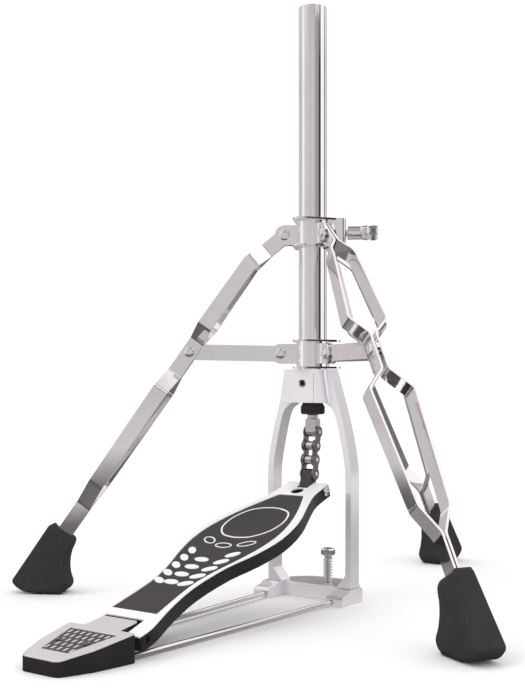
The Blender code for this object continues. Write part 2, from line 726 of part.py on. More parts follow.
def make_tripod(finishes):
    swivel = pivot("tripod_axis", (0, 0, LOWER_PIVOT_HEIGHT))
    slide = pivot("collar_axis", (0, 0, UPPER_PIVOT_HEIGHT))
    low = SOCKET_TOP + COLLAR_LIFT - LOWER_PIVOT_HEIGHT
    lower = make_collar("lower_collar", finishes["chrome"], swivel, low, LOWER_PIVOT_RADIUS,
                        lower_ear_face())
    drill_collar(lower, LOWER_PIVOT_RADIUS, low)
    make_collar_rivets("lower_rivet", finishes["steel"], swivel, LOWER_PIVOT_RADIUS,
                       lower_ear_face())
    make_upper_collar(finishes["chrome"], slide)
    make_collar_rivets("upper_rivet", finishes["steel"], slide, UPPER_PIVOT_RADIUS,
                       upper_ear_face())
    wing = pivot("wing_axis", (0, 0, UPPER_PIVOT_HEIGHT + WING_RISE), (0, 0, WING_AZIMUTH))
    make_wing_bolt(finishes["chrome"], wing)
    for side, azimuth in LEG_AZIMUTHS.items():
        angle = math.radians(azimuth)
        leg = pivot(f"leg_axis_{side}", (UPPER_PIVOT_RADIUS * math.cos(angle),
                                         UPPER_PIVOT_RADIUS * math.sin(angle), UPPER_PIVOT_HEIGHT),
                    (0, 0, azimuth))
        for mark, sign in (("a", 1), ("b", -1)):
            make_strip(f"leg_{side}_strip_{mark}", finishes["chrome"], leg, sign)
            make_brace_rivet(f"brace_rivet_{side}_{mark}", finishes["steel"], leg, sign)
        make_foot(f"foot_{side}", finishes["rubber"], leg)
        brace = pivot(f"brace_axis_{side}", (LOWER_PIVOT_RADIUS * math.cos(angle),
                                             LOWER_PIVOT_RADIUS * math.sin(angle), LOWER_PIVOT_HEIGHT),
                      (0, 0, azimuth))
        make_brace(f"brace_{side}", finishes["chrome"], brace)


# ---------------------------------------------------------------- pedal frame and base
def frame_outline():
    """The arch seen from the front, as (z, x): outside up one side, inside down."""
    outer = [(BASE_HEIGHT + GAP, FRAME_HALF_WIDTH), (80.0, FRAME_HALF_WIDTH + 0.3),
             (FRAME_SHOULDER_HEIGHT, FRAME_HALF_WIDTH), (150.0, FRAME_HALF_WIDTH - 5.5),
             (SOCKET_BOTTOM, SOCKET_BOTTOM_HALF_WIDTH), (SOCKET_TOP, SOCKET_TOP_HALF_WIDTH)]
    outer = smooth_curve(outer[:-1], 4) + outer[-1:]
    inner_x = FRAME_HALF_WIDTH - FRAME_LEG_THICKNESS
    inner = [(SOCKET_BOTTOM, 17.0), (SOCKET_BOTTOM - 3.5, 22.5), (SOCKET_BOTTOM - 9.0, 27.5),
             (150.0, inner_x - 6.3), (FRAME_SHOULDER_HEIGHT, inner_x - 0.2), (80.0, inner_x)]
    inner = smooth_curve(inner, 3)
    inner += [(24.5, inner_x), (BASE_HEIGHT + GAP, inner_x - 9.5)]
    outline = outer + [(z, -x) for z, x in reversed(outer)]
    outline += [(z, -x) for z, x in reversed(inner)] + inner
    return outline


def make_pedal_frame(cast):
    arch = prism(frame_outline(), -FRAME_HALF_DEPTH, FRAME_HALF_DEPTH, "y")
    made = to_object("pedal_frame", arch, cast)
    outline = [(SOCKET_BOTTOM, SOCKET_BOTTOM_HALF_WIDTH - 7), (SOCKET_TOP, SOCKET_TOP_HALF_WIDTH - 3),
               (SOCKET_TOP, -SOCKET_TOP_HALF_WIDTH + 3), (SOCKET_BOTTOM, -SOCKET_BOTTOM_HALF_WIDTH + 7)]
    boss = prism(outline, -SOCKET_HALF_DEPTH, SOCKET_HALF_DEPTH, "y")
    upright = [edge for edge in boss.edges
               if abs(edge.verts[0].co.z - edge.verts[1].co.z) > 1]
    bmesh.ops.bevel(boss, geom=upright, offset=8.5, segments=3, affect="EDGES", profile=0.5)
    join(made, boss)
    floor = SOCKET_BOTTOM + SOCKET_FLOOR
    cut(made, rod(TUBE_RADIUS + GAP, floor, SOCKET_TOP + 1, faces=ROUND))
    cut(made, rod(GUIDE_HOLE_RADIUS, SOCKET_BOTTOM - 1, floor + 1, faces=24))
    cut(made, rod(SET_SCREW_RADIUS + GAP, -SOCKET_HALF_DEPTH - 1, -TUBE_RADIUS + 2, "y",
                  (0, 0, SET_SCREW_HEIGHT)))
    cut(made, block((GROOVE_X - GROOVE_HALF_WIDTH, -SOCKET_HALF_DEPTH - 1, SOCKET_BOTTOM - 1),
                    (GROOVE_X + GROOVE_HALF_WIDTH, -SOCKET_HALF_DEPTH + 1, SOCKET_TOP - 4)))


def make_set_screw(steel):
    """A socket set screw in the front of the frame, bearing on the tube."""
    front = -SOCKET_HALF_DEPTH + 0.2
    back = -TUBE_RADIUS - GAP
    socket = SET_SCREW_RADIUS * 0.53
    profile = [(0, back), (SET_SCREW_RADIUS, back), (SET_SCREW_RADIUS, front), (socket, front),
               (socket, front + 2.0), (0, front + 2.0)]
    shape = turned(profile, "y", (0, 0, SET_SCREW_HEIGHT), SMALL_ROUND)
    to_object("frame_set_screw", shape, steel, smooth=True)


def base_outline():
    """The base plate from above: straight front, curved back."""
    half = [(BLOCK_INNER + 2, -BASE_WALL / 2), (BLOCK_INNER + 8, 6.0), (BLOCK_INNER + 7, 20.0),
            (26.0, 31.0), (13.0, BASE_BACK - 1.2), (0.0, BASE_BACK)]
    curve = smooth_curve(half[2:], 3)
    right = half[:2] + curve
    return right + [(-x, y) for x, y in reversed(right[:-1])]


def block_outline():
    """A side block, as (y, z): low in front where the radius rod enters, full height behind."""
    low = 9.2
    outline = [(-BLOCK_FRONT, 0.0), (BLOCK_BACK, 0.0), (BLOCK_BACK, BASE_HEIGHT)]
    outline += [(-9.0, BASE_HEIGHT), (-12.0, BASE_HEIGHT - 0.6), (-16.5, low + 0.5), (-19.0, low)]
    outline += [(-BLOCK_FRONT + 2.5, low), (-BLOCK_FRONT, low - 2.5)]
    return outline


def radius_rod_ends(side):
    """The two ends of a radius rod, in the base block and in the heel plate."""
    return ((side * ROD_BASE_HALF_SPACING, -BLOCK_FRONT + ROD_SOCKET_DEPTH, ROD_HEIGHT),
            (side * ROD_HEEL_HALF_SPACING, HEEL_REAR_Y - ROD_SOCKET_DEPTH, ROD_HEIGHT))


def make_base(cast):
    made = to_object("base_plate", prism(base_outline(), 0.0, BASE_HEIGHT), cast)
    wall = BASE_WALL / 2
    pocket = [(x * BASE_POCKET, wall + (y - wall) * BASE_POCKET) for x, y in base_outline()]
    pocket = [(x, max(y, wall)) for x, y in pocket]
    cut(made, prism(pocket, -1.0, BASE_HEIGHT - BASE_PLATE_THICKNESS))
    join(made, rod(SPUR_BOSS_RADIUS, 0.0, BASE_HEIGHT - 1, centre=(SPUR_X, SPUR_Y, 0), faces=20))
    for side in (1, -1):
        low, high = sorted((side * BLOCK_INNER, side * BLOCK_OUTER))
        join(made, prism(block_outline(), low, high, "x"))
    for side in (1, -1):
        cut(made, rod_between(*radius_rod_ends(side), ROD_RADIUS + GAP, extra=GAP))
    hole = rod(SPUR_SHANK_RADIUS + GAP, -1, BASE_HEIGHT + 1, centre=(SPUR_X, SPUR_Y, 0))
    cut(made, hole)


def make_radius_rods(steel):
    for side, name in ((1, "right"), (-1, "left")):
        shape = rod_between(*radius_rod_ends(side), ROD_RADIUS)
        to_object(f"radius_rod_{name}", shape, steel, smooth=True)


def make_spur(steel):
    """A knurled screw through the base with a spring under its head."""
    spur = pivot("spur_axis", (SPUR_X, SPUR_Y, 0))
    head_low = SPUR_HEAD_TOP - SPUR_HEAD_HEIGHT
    neck_low = head_low - 2.2
    neck = SPUR_SHANK_RADIUS + 1.0
    profile = [(0, 0.8), (SPUR_SHANK_RADIUS, 5.0), (SPUR_SHANK_RADIUS, neck_low), (neck, neck_low),
               (neck, head_low), (6.4, head_low), (6.6, head_low + 1.0), (6.6, SPUR_HEAD_TOP - 1.5),
               (5.8, SPUR_HEAD_TOP), (0, SPUR_HEAD_TOP)]
    to_object("spur_screw", turned(profile, faces=20), steel, spur, smooth=True)
    make_spring("spur_spring", steel, (SPUR_X, SPUR_Y, 0), BASE_HEIGHT, neck_low,
                SPUR_SHANK_RADIUS + 1.3, 0.55, 5)


# ---------------------------------------------------------------- heel plate
def heel_top(y, drop=0.0):
    return HEEL_REAR_HEIGHT + HEEL_SLOPE * (y - HEEL_REAR_Y) - drop


def heel_outline(with_tongue=True):
    """The heel plate from above: rounded front corners, wide at the hinge, a narrow tongue."""
    half = [(HEEL_FRONT_HALF_WIDTH - 5.0, HEEL_FRONT_Y),
            (HEEL_FRONT_HALF_WIDTH - 1.2, HEEL_FRONT_Y + 1.4),
            (HEEL_FRONT_HALF_WIDTH + 0.8, HEEL_FRONT_Y + 5.0),
            (HEEL_REAR_HALF_WIDTH - 5.0, HEEL_FRONT_Y + 26.0),
            (HEEL_REAR_HALF_WIDTH - 1.0, HEEL_REAR_Y - 8.0), (HEEL_REAR_HALF_WIDTH, HEEL_REAR_Y)]
    if with_tongue:
        half += [(TONGUE_HALF_WIDTH + 1.0, HEEL_REAR_Y), (TONGUE_HALF_WIDTH, HEEL_REAR_Y + 3.0),
                 (TONGUE_HALF_WIDTH, TONGUE_END_Y - 1.5), (TONGUE_HALF_WIDTH - 1.5, TONGUE_END_Y)]
    return both_sides(half)


def panel_outline(margin):
    return both_sides([(PANEL_FRONT_HALF_WIDTH + margin, PANEL_FRONT_Y - margin),
                       (PANEL_REAR_HALF_WIDTH + margin, PANEL_REAR_Y + margin)])


def slanted(outline, low_drop, high_drop):
    """A prism whose two faces follow the heel plate's slope."""
    shape = prism(outline, 0.0, 1.0)
    for vert in shape.verts:
        drop = high_drop if vert.co.z > 0.5 else low_drop
        vert.co.z = heel_top(vert.co.y, drop)
    return shape


def make_heel_body(black):
    """The plate with its hollow underside, hinge lug and holes."""
    body_drop = COVER_THICKNESS + GAP
    shape = prism(heel_outline(False), 0.0, 1.0)
    for vert in shape.verts:
        if vert.co.z > 0.5:
            vert.co.z = heel_top(vert.co.y, body_drop)
    body = to_object("heel_plate", shape, black)
    lug = prism([(-TONGUE_HALF_WIDTH, HEEL_REAR_Y - 4), (TONGUE_HALF_WIDTH, HEEL_REAR_Y - 4),
                 (TONGUE_HALF_WIDTH, TONGUE_END_Y), (-TONGUE_HALF_WIDTH, TONGUE_END_Y)], 0.0, 1.0)
    for vert in lug.verts:
        vert.co.z = heel_top(vert.co.y, body_drop + 0.2) if vert.co.z > 0.5 else HINGE_Z - TONGUE_DROP
    join(body, lug)
    pocket = [(x * HEEL_POCKET, HEEL_SCREW_Y + (y - HEEL_SCREW_Y) * HEEL_POCKET)
              for x, y in heel_outline(False)]
    hollow = prism(pocket, -1.0, 1.0)
    for vert in hollow.verts:
        if vert.co.z > 0:
            vert.co.z = heel_top(vert.co.y, body_drop) - HEEL_SKIN
    cut(body, hollow)
    reach = TONGUE_HALF_WIDTH + 1
    cut(body, rod(HINGE_PIN_RADIUS + GAP * 0.5, -reach, reach, "x", (0, HINGE_Y, HINGE_Z)))
    for side in (1, -1):
        cut(body, rod_between(*radius_rod_ends(side), ROD_RADIUS + GAP, extra=GAP))
        cut(body, heel_screw_hole(side))


def heel_screw_hole(side):
    return rod(HEEL_SCREW_RADIUS + GAP * 0.5, 2.0, 30.0, centre=(side * HEEL_SCREW_X, HEEL_SCREW_Y, 0))


def make_heel(finishes):
    make_heel_body(finishes["black_cast"])
    cover = to_object("heel_cover", slanted(heel_outline(), COVER_THICKNESS, 0.0), finishes["silver"])
    cut(cover, slanted(panel_outline(0.0), COVER_THICKNESS + 1, -1.0))
    panel = to_object("heel_panel", slanted(panel_outline(-GAP), COVER_THICKNESS, PANEL_STEP),
                      finishes["panel"])
    for side, name in ((1, "right"), (-1, "left")):
        cut(panel, heel_screw_hole(side))
        make_heel_screw(f"heel_screw_{name}", finishes["steel"], side)


def make_heel_screw(name, steel, side):
    seat = heel_top(HEEL_SCREW_Y) + 0.25
    low = seat - 5.5
    profile = [(0, low), (HEEL_SCREW_RADIUS, low), (HEEL_SCREW_RADIUS, seat), (3.1, seat),
               (2.8, seat + 0.9), (0, seat + 1.2)]
    shape = turned(profile, "z", (side * HEEL_SCREW_X, HEEL_SCREW_Y, 0), SMALL_ROUND)
    to_object(name, shape, steel, smooth=True)


def make_hinge_pin(steel):
    """The pin through the heel lug and both arms, with a shallow socket in each end."""
    reach = BOARD_HEEL_HALF_WIDTH - ARM_END_INSET
    socket = HINGE_PIN_RADIUS * 0.55
    half = [(HINGE_PIN_RADIUS, reach), (socket, reach), (socket, reach - 1.5), (0, reach - 1.5)]
    profile = [(radius, -height) for radius, height in reversed(half)] + half
    shape = turned(profile, "x", (0, HINGE_Y, HINGE_Z), SMALL_ROUND)
    to_object("hinge_pin", shape, steel, smooth=True)


# ---------------------------------------------------------------- footboard
def along_board(stations):
    """Turn (share of the half width, share of the length) pairs into (x, u) points."""
    return [(width * BOARD_HALF_WIDTH, length * BOARD_TOE_U) for width, length in stations]


def board_outline():
    """Right side of the board: wide at the hinge, a waist, a broad tread, a narrow toe."""
    half = [(BOARD_HEEL_HALF_WIDTH, -6.5), (BOARD_HEEL_HALF_WIDTH + 0.6, 8.0)]
    half += along_board([(0.605, 0.129), (0.53, 0.251), (0.648, 0.384), (0.875, 0.481), (1.0, 0.591),
                         (0.909, 0.71), (0.659, 0.824), (0.491, 0.909)])
    half += [(BOARD_TOE_HALF_WIDTH, BOARD_TOE_U)]
    return smooth_curve(half, 3)


def pad_outline(margin=0.0):
    half = along_board([(0.511, 0.092), (0.45, 0.248), (0.534, 0.344), (0.709, 0.436), (0.832, 0.521),
                        (0.859, 0.61), (0.761, 0.702), (0.568, 0.795), (0.295, 0.895)])
    curve = smooth_curve(half, 3)
    first, last = curve[0], curve[-1]
    curve[0] = (first[0], first[1] - margin)
    curve[-1] = (last[0], last[1] + margin)
    return both_sides([(x + margin, u) for x, u in curve])


def heel_slot(shape_low, shape_high, half_width):
    return block((-half_width, -14.0, shape_low), (half_width, SLOT_END_U, shape_high))


def toe_notch(low, high):
    half = TOGGLE_HALF_WIDTH + 0.8
    return block((-half, TOE_PIN_U - TOGGLE_RADIUS - 2.2, low), (half, BOARD_TOE_U + 2, high))


def thumb_hole(low, high):
    return rod(THUMB_HOLE_RADIUS, low, high, centre=(0, THUMB_HOLE_U, 0), faces=20)


def make_board_body(black, board):
    """A shallow tray, open below, with two hinge barrels and a notch for the toggle."""
    top = BOARD_TOP - COVER_THICKNESS - GAP
    low = BOARD_TOP - BOARD_DEPTH
    slot_half = TONGUE_HALF_WIDTH + 2.0
    outline = board_outline()
    body = to_object("footboard", prism(both_sides(outline), low, top), black, board)
    hollow = [(x - BOARD_RIM, u) for x, u in outline if 24 < u < THUMB_HOLE_U - 15]
    cut(body, prism(both_sides(hollow), low - 1, top - BOARD_SKIN))
    for side in (1, -1):
        ends = sorted((side * (slot_half + 0.2), side * (BOARD_HEEL_HALF_WIDTH - ARM_END_INSET)))
        join(body, rod(6.6, *ends, "x", faces=20))
    cut(body, prism(both_sides(outline), top, top + 6))
    cut(body, heel_slot(low - 3, top + 3, slot_half))
    cut(body, toe_notch(low - 1, top + 1))
    cut(body, rod(HINGE_PIN_RADIUS + GAP * 0.5, -40, 40, "x"))
    cut(body, rod(TOE_PIN_RADIUS + GAP * 0.5, -40, 40, "x", (0, TOE_PIN_U, TOE_PIN_RISE)))
    cut(body, thumb_hole(top - 3, top + 1))


def make_footboard(finishes):
    board = pivot("footboard_axis", (0, HINGE_Y, HINGE_Z), (BOARD_TILT, 0, 0))
    make_board_body(finishes["black_cast"], board)
    low = BOARD_TOP - COVER_THICKNESS
    trim = to_object("footboard_trim", prism(both_sides(board_outline()), low, BOARD_TOP),
                     finishes["silver"], board)
    cut(trim, prism(pad_outline(), 0, BOARD_TOP + 2))
    cut(trim, heel_slot(0, BOARD_TOP + 2, TONGUE_HALF_WIDTH + 2.0))
    cut(trim, toe_notch(0, BOARD_TOP + 2))
    cut(trim, thumb_hole(0, BOARD_TOP + 2))
    to_object("footboard_pad", prism(pad_outline(-GAP), low, BOARD_TOP - PAD_STEP),
              finishes["pad"], board)
    make_toe_pin(finishes["steel"], board)


def make_toe_pin(steel, parent):
    edge = BOARD_TOE_HALF_WIDTH + GAP
    profile = [(0, -edge - 0.6), (TOE_PIN_RADIUS, -edge - 0.6), (TOE_PIN_RADIUS, edge), (4.5, edge),
               (4.0, edge + 1.6), (0, edge + 2.2)]
    shape = turned(profile, "x", (0, TOE_PIN_U, TOE_PIN_RISE), SMALL_ROUND)
    to_object("toe_pin", shape, steel, parent, smooth=True)


# ---------------------------------------------------------------- chain and toggle
def chain_joints():
    """The four pin centres (y, z) from the clevis down."""
    points = [(0.0, CHAIN_TOP_Z)]
    for tilt in CHAIN_TILTS:
        y, z = points[-1]
        angle = math.radians(tilt)
        points.append((y - CHAIN_PITCH * math.sin(angle), z - CHAIN_PITCH * math.cos(angle)))
    return points


def link_outline(length, radius, waist, angle):
    """A figure-of-eight plate hanging from the origin, leaning by an angle, as (y, z)."""
    spread = math.degrees(math.acos(waist / radius)) if waist < radius else 0
    top = arc((0, 0), radius, -spread, 180 + spread, 7)
    bottom = arc((0, -length), radius, 180 - spread, 360 + spread, 7)
    lean = math.radians(-angle)
    turned_points = []
    for y, z in top + bottom:
        turned_points.append((y * math.cos(lean) - z * math.sin(lean),
                              y * math.sin(lean) + z * math.cos(lean)))
    return turned_points


def make_link(name, steel, parent, tilt, is_outer):
    face = ROLLER_HALF_WIDTH + (LINK_THICKNESS + GAP if is_outer else 0.0)
    outline = link_outline(CHAIN_PITCH, LINK_RADIUS, LINK_WAIST, tilt)
    lean = math.radians(tilt)
    lower = (0, -CHAIN_PITCH * math.sin(lean), -CHAIN_PITCH * math.cos(lean))
    made = to_object(name, prism(outline, face, face + LINK_THICKNESS, "x"), steel, parent)
    barrel = CHAIN_PIN_RADIUS if is_outer else ROLLER_RADIUS
    reach = face + (LINK_THICKNESS + CHAIN_PIN_END if is_outer else LINK_THICKNESS / 2)
    for centre in ((0, 0, 0), lower):
        join(made, rod(barrel, -reach, reach, "x", centre, 12))
    join(made, prism(outline, -face - LINK_THICKNESS, -face, "x"))
    if not is_outer:
        for centre in ((0, 0, 0), lower):
            cut(made, rod(CHAIN_PIN_RADIUS + GAP, -reach - 3, reach + 3, "x", centre, 12))


def make_chain(steel):
    names = ("chain_link_upper", "chain_link_middle", "chain_link_lower")
    for index, name in enumerate(names):
        y, z = chain_joints()[index]
        hanger = pivot(f"{name}_axis", (0, y, z))
        make_link(name, steel, hanger, CHAIN_TILTS[index], index != 1)


def make_toggle(black):
    """A block that joins the chain's last pin to the toe pin; its upper hole is a loose fit."""
    parent = pivot("toggle_axis", (0, TOE_Y, TOE_Z))
    rise = (CHAIN_END_Y - TOE_Y, CHAIN_END_Z - TOE_Z)
    angle = 90 - TOGGLE_TILT
    outline = arc((0, 0), TOGGLE_RADIUS, angle + 90, angle + 270, 8)
    outline += arc(rise, TOGGLE_RADIUS, angle - 90, angle + 90, 8)
    shape = prism(outline, -TOGGLE_HALF_WIDTH, TOGGLE_HALF_WIDTH, "x")
    made = to_object("toggle", shape, black, parent)
    reach = TOGGLE_HALF_WIDTH + 3
    cut(made, rod(TOE_PIN_RADIUS + GAP, -reach, reach, "x"))
    cut(made, rod(CHAIN_PIN_RADIUS + TOGGLE_SLACK, -reach, reach, "x", (0, *rise)))


def main():
    clear_scene()
    finishes = {
        "chrome": material("chrome", (0.80, 0.80, 0.82), 0.12, 1.0),
        "steel": material("steel", (0.62, 0.62, 0.64), 0.28, 1.0),
        "cast": material("cast", (0.78, 0.77, 0.78), 0.34, 0.9),
        "silver": material("silver", (0.86, 0.85, 0.87), 0.38, 0.6),
        "black_cast": material("black_cast", (0.035, 0.033, 0.036), 0.42, 0.1),
        "pad": material("pad", (0.09, 0.085, 0.09), 0.6, 0.0),
        "panel": material("panel", (0.10, 0.095, 0.10), 0.45, 0.4),
        "rubber": material("rubber", (0.03, 0.028, 0.03), 0.7, 0.0),
        "plastic": material("plastic", (0.04, 0.04, 0.04), 0.5, 0.0),
        "chain": material("chain", (0.40, 0.38, 0.38), 0.35, 1.0),
    }
    make_tube(finishes["chrome"])
    make_guide_bush(finishes["plastic"])
    rod_axis = pivot("pull_rod_axis", (0, 0, CHAIN_TOP_Z))
    make_pull_rod(finishes["steel"], rod_axis)
    make_bumper(finishes["rubber"], rod_axis)
    make_clevis(finishes["steel"], rod_axis)
    make_spring("return_spring", finishes["steel"], (0, 0, 0), SPRING_SEAT_TOP, SPRING_COLLAR_Z,
                SPRING_RADIUS, SPRING_WIRE, SPRING_TURNS)
    make_tripod(finishes)
    make_pedal_frame(finishes["cast"])
    make_set_screw(finishes["steel"])
    make_base(finishes["cast"])
    make_radius_rods(finishes["steel"])
    make_spur(finishes["steel"])
    make_heel(finishes)
    make_hinge_pin(finishes["steel"])
    make_footboard(finishes)
    make_chain(finishes["chain"])
    make_toggle(finishes["black_cast"])


main()
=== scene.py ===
import json
import math

import bmesh
import bpy
from mathutils import Matrix, Vector


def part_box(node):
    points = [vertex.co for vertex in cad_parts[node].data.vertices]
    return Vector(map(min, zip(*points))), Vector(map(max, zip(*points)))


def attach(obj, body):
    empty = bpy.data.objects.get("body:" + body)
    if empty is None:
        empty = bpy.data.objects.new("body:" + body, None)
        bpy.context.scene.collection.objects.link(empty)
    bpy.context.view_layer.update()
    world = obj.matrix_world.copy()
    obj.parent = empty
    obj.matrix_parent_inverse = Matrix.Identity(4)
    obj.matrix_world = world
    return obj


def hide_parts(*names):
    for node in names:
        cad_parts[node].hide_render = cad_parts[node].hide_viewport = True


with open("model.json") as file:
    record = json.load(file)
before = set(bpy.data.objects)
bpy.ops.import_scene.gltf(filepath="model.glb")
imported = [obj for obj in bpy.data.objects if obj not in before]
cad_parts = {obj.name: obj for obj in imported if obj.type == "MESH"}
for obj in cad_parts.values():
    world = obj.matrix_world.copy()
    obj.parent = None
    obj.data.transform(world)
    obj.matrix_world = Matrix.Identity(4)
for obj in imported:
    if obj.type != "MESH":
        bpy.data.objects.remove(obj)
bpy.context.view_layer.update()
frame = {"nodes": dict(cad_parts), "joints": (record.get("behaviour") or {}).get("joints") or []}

mm = 0.001
joints = {joint["name"]: joint for joint in frame["joints"]}
legAzimuths = {"left": 210.0, "right": 330.0, "rear": 90.0}


def boxOf(node):
    # a node's lowest and highest corner in millimetres
    low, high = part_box(node)
    return low / mm, high / mm


def pivotOf(name):
    return Vector(joints[name]["pos_m"]) / mm


# expressions on node sockets
class Wire:
    def __init__(self, nodes, socket):
        self.nodes = nodes
        self.socket = socket

    def __add__(self, other):
        return self.nodes.maths("ADD", self, other)

    def __radd__(self, other):
        return self.nodes.maths("ADD", other, self)

    def __sub__(self, other):
        return self.nodes.maths("SUBTRACT", self, other)

    def __rsub__(self, other):
        return self.nodes.maths("SUBTRACT", other, self)

    def __mul__(self, other):
        return self.nodes.maths("MULTIPLY", self, other)

    def __rmul__(self, other):
        return self.nodes.maths("MULTIPLY", other, self)

    def __truediv__(self, other):
        return self.nodes.maths("DIVIDE", self, other)


class NodeSet:
    # builds the nodes of one tree, for a material or for geometry
    def __init__(self, tree):
        self.tree = tree

    def node(self, kind, settings=None, sockets=None, output=0):
        made = self.tree.nodes.new(kind)
        for name, value in (settings or {}).items():
            if name == "stops":
                self.setStops(made.color_ramp, value)
            else:
                setattr(made, name, value)
        for key, value in (sockets or {}).items():
            self.feed(made.inputs[key], value)
        return Wire(self, made.outputs[output])

    def setStops(self, ramp, stops):
        while len(ramp.elements) < len(stops):
            ramp.elements.new(1.0)
        for element, (place, shade) in zip(ramp.elements, stops):
            element.position = place
            element.color = (shade, shade, shade, 1.0)

    def feed(self, socket, value):
        if isinstance(value, Wire):
            self.tree.links.new(value.socket, socket)
        elif value is not None:
            socket.default_value = value

    def maths(self, operation, first, second=None, clamp=False):
        return self.node("ShaderNodeMath", {"operation": operation, "use_clamp": clamp},
                         {0: first, 1: second})

    def ramp(self, value, stops):
        return self.node("ShaderNodeValToRGB", {"stops": stops}, {"Fac": value})

    def mixColour(self, factor, first, second):
        return self.node("ShaderNodeMix", {"data_type": "RGBA"},
                         {0: factor, 6: (*first, 1.0) if isinstance(first, tuple) else first,
                          7: (*second, 1.0) if isinstance(second, tuple) else second}, output=2)

    def stretched(self, size=(1.0, 1.0, 1.0)):
        # object coordinates, squeezed or stretched along an axis
        point = self.node("ShaderNodeTexCoord", output=3)
        return self.node("ShaderNodeMapping", {}, {"Vector": point, "Scale": size})

    def noise(self, point, scale, detail=3.0, roughness=0.55, distortion=0.0):
        return self.node("ShaderNodeTexNoise", {}, {"Vector": point, "Scale": scale, "Detail": detail,
                                                    "Roughness": roughness, "Distortion": distortion})

    def patches(self, low, high, *noise):
        # noise with its middle range pulled apart, so only some places show
        return self.ramp(self.noise(*noise), [(low, 0.0), (high, 1.0)])

    def bump(self, height, strength, distance):
        return self.node("ShaderNodeBump", {}, {"Height": height, "Strength": strength,
                                                "Distance": distance * mm})

    def vector(self, x=0.0, y=0.0, z=0.0):
        return self.node("ShaderNodeCombineXYZ", {}, {"X": x, "Y": y, "Z": z})

    def split(self, vector):
        made = self.tree.nodes.new("ShaderNodeSeparateXYZ")
        self.feed(made.inputs[0], vector)
        return [Wire(self, output) for output in made.outputs]

    def form(self, kind, sockets, settings=None):
        return self.node("GeometryNode" + kind, settings, sockets)


def newFinish(name, metallic=0.0, coat=0.0, coatRoughness=0.1, specular=0.5):
    made = bpy.data.materials.new(name)
    made.use_nodes = True
    nodes = NodeSet(made.node_tree)
    shader = made.node_tree.nodes["Principled BSDF"]
    shader.inputs["Metallic"].default_value = metallic
    shader.inputs["Coat Weight"].default_value = coat
    shader.inputs["Coat Roughness"].default_value = coatRoughness
    shader.inputs["Specular IOR Level"].default_value = specular
    return made, nodes, shader


def wireUp(nodes, shader, look, tint, gloss, normal=None, more=None):
    # tint runs between the two colours, and gloss between the two roughnesses
    low, high = look["rough"]
    roughness = low + gloss * (high - low)
    if more:
        roughness = roughness + more
    nodes.feed(shader.inputs["Base Color"], nodes.mixColour(tint, *look["colours"]))
    nodes.feed(shader.inputs["Roughness"], roughness)
    nodes.feed(shader.inputs["Normal"], normal)


chromeLook = {"colours": ((0.93, 0.92, 0.93), (0.80, 0.785, 0.80)), "rough": (0.035, 0.16)}


def makeChrome():
    made, nodes, shader = newFinish("polished chrome", metallic=1.0)
    point = nodes.stretched()
    smudge = nodes.patches(0.42, 0.68, point, 34.0, 4.0, 0.6, 0.4)
    specks = nodes.patches(0.64, 0.72, point, 900.0, 2.0)
    hairlines = nodes.patches(0.55, 0.75, nodes.stretched((1.0, 1.0, 0.03)), 1400.0, 2.0)
    ripple = nodes.noise(point, 55.0, 2.0) + hairlines * 0.02
    wireUp(nodes, shader, chromeLook, smudge * 0.35 + specks * 0.3, smudge * 0.5,
           nodes.bump(ripple, 0.12, 0.25), hairlines * 0.05)
    return made


zincLook = {"colours": ((0.80, 0.79, 0.80), (0.55, 0.54, 0.56)), "rough": (0.16, 0.38)}


def makeZinc():
    made, nodes, shader = newFinish("zinc plated steel", metallic=1.0)
    cloud = nodes.noise(nodes.stretched(), 120.0, 4.0, 0.6)
    grain = nodes.noise(nodes.stretched((1.0, 1.0, 0.08)), 2200.0, 2.0)
    wireUp(nodes, shader, zincLook, cloud, cloud, nodes.bump(grain, 0.15, 0.05), grain * 0.08)
    return made


castLook = {"colours": ((0.93, 0.91, 0.93), (0.87, 0.85, 0.875)), "rough": (0.16, 0.26)}


def makeCast():
    made, nodes, shader = newFinish("polished casting", metallic=0.55, coat=0.2)
    point = nodes.stretched()
    cloud = nodes.patches(0.36, 0.7, point, 42.0, 5.0, 0.62, 0.3)
    skin = nodes.noise(point, 420.0, 4.0, 0.65)
    pits = nodes.patches(0.68, 0.78, point, 1500.0, 2.0)
    wireUp(nodes, shader, castLook, cloud * 0.6 + pits * 0.4, cloud,
           nodes.bump(skin - pits * 0.5, 0.10, 0.08), pits * 0.12)
    return made


trimLook = {"colours": ((0.95, 0.94, 0.95), (0.88, 0.87, 0.885)), "rough": (0.28, 0.46), "metallic": 0.08,
            "cloud": 38.0}
coverLook = {"colours": ((0.72, 0.70, 0.72), (0.62, 0.605, 0.625)), "rough": (0.34, 0.5), "metallic": 0.3,
             "cloud": 50.0}


def makeSatin(name, look):
    # painted silver, brushed across the board
    made, nodes, shader = newFinish(name, metallic=look["metallic"], coat=0.1)
    grain = nodes.noise(nodes.stretched((1.0, 0.06, 0.06)), 1700.0)
    cloud = nodes.noise(nodes.stretched(), look["cloud"], 4.0)
    wireUp(nodes, shader, look, cloud * 0.7 + grain * 0.25, grain, nodes.bump(grain, 0.12, 0.04))
    return made


blackLook = {"colours": ((0.010, 0.008, 0.010), (0.040, 0.035, 0.040)), "rough": (0.34, 0.52)}


def makeBlack():
    made, nodes, shader = newFinish("black powder coat", coat=0.05, coatRoughness=0.3, specular=0.35)
    point = nodes.stretched()
    peel = nodes.noise(point, 900.0, 3.0, 0.6)
    cloud = nodes.noise(point, 45.0, 4.0)
    rubs = nodes.patches(0.62, 0.74, point, 160.0, 6.0, 0.75)
    wireUp(nodes, shader, blackLook, cloud * 0.45 + rubs * 0.35, cloud, nodes.bump(peel, 0.22, 0.10),
           rubs * -0.06)
    return made


padLook = {"colours": ((0.030, 0.026, 0.030), (0.062, 0.056, 0.062)), "rough": (0.5, 0.72)}


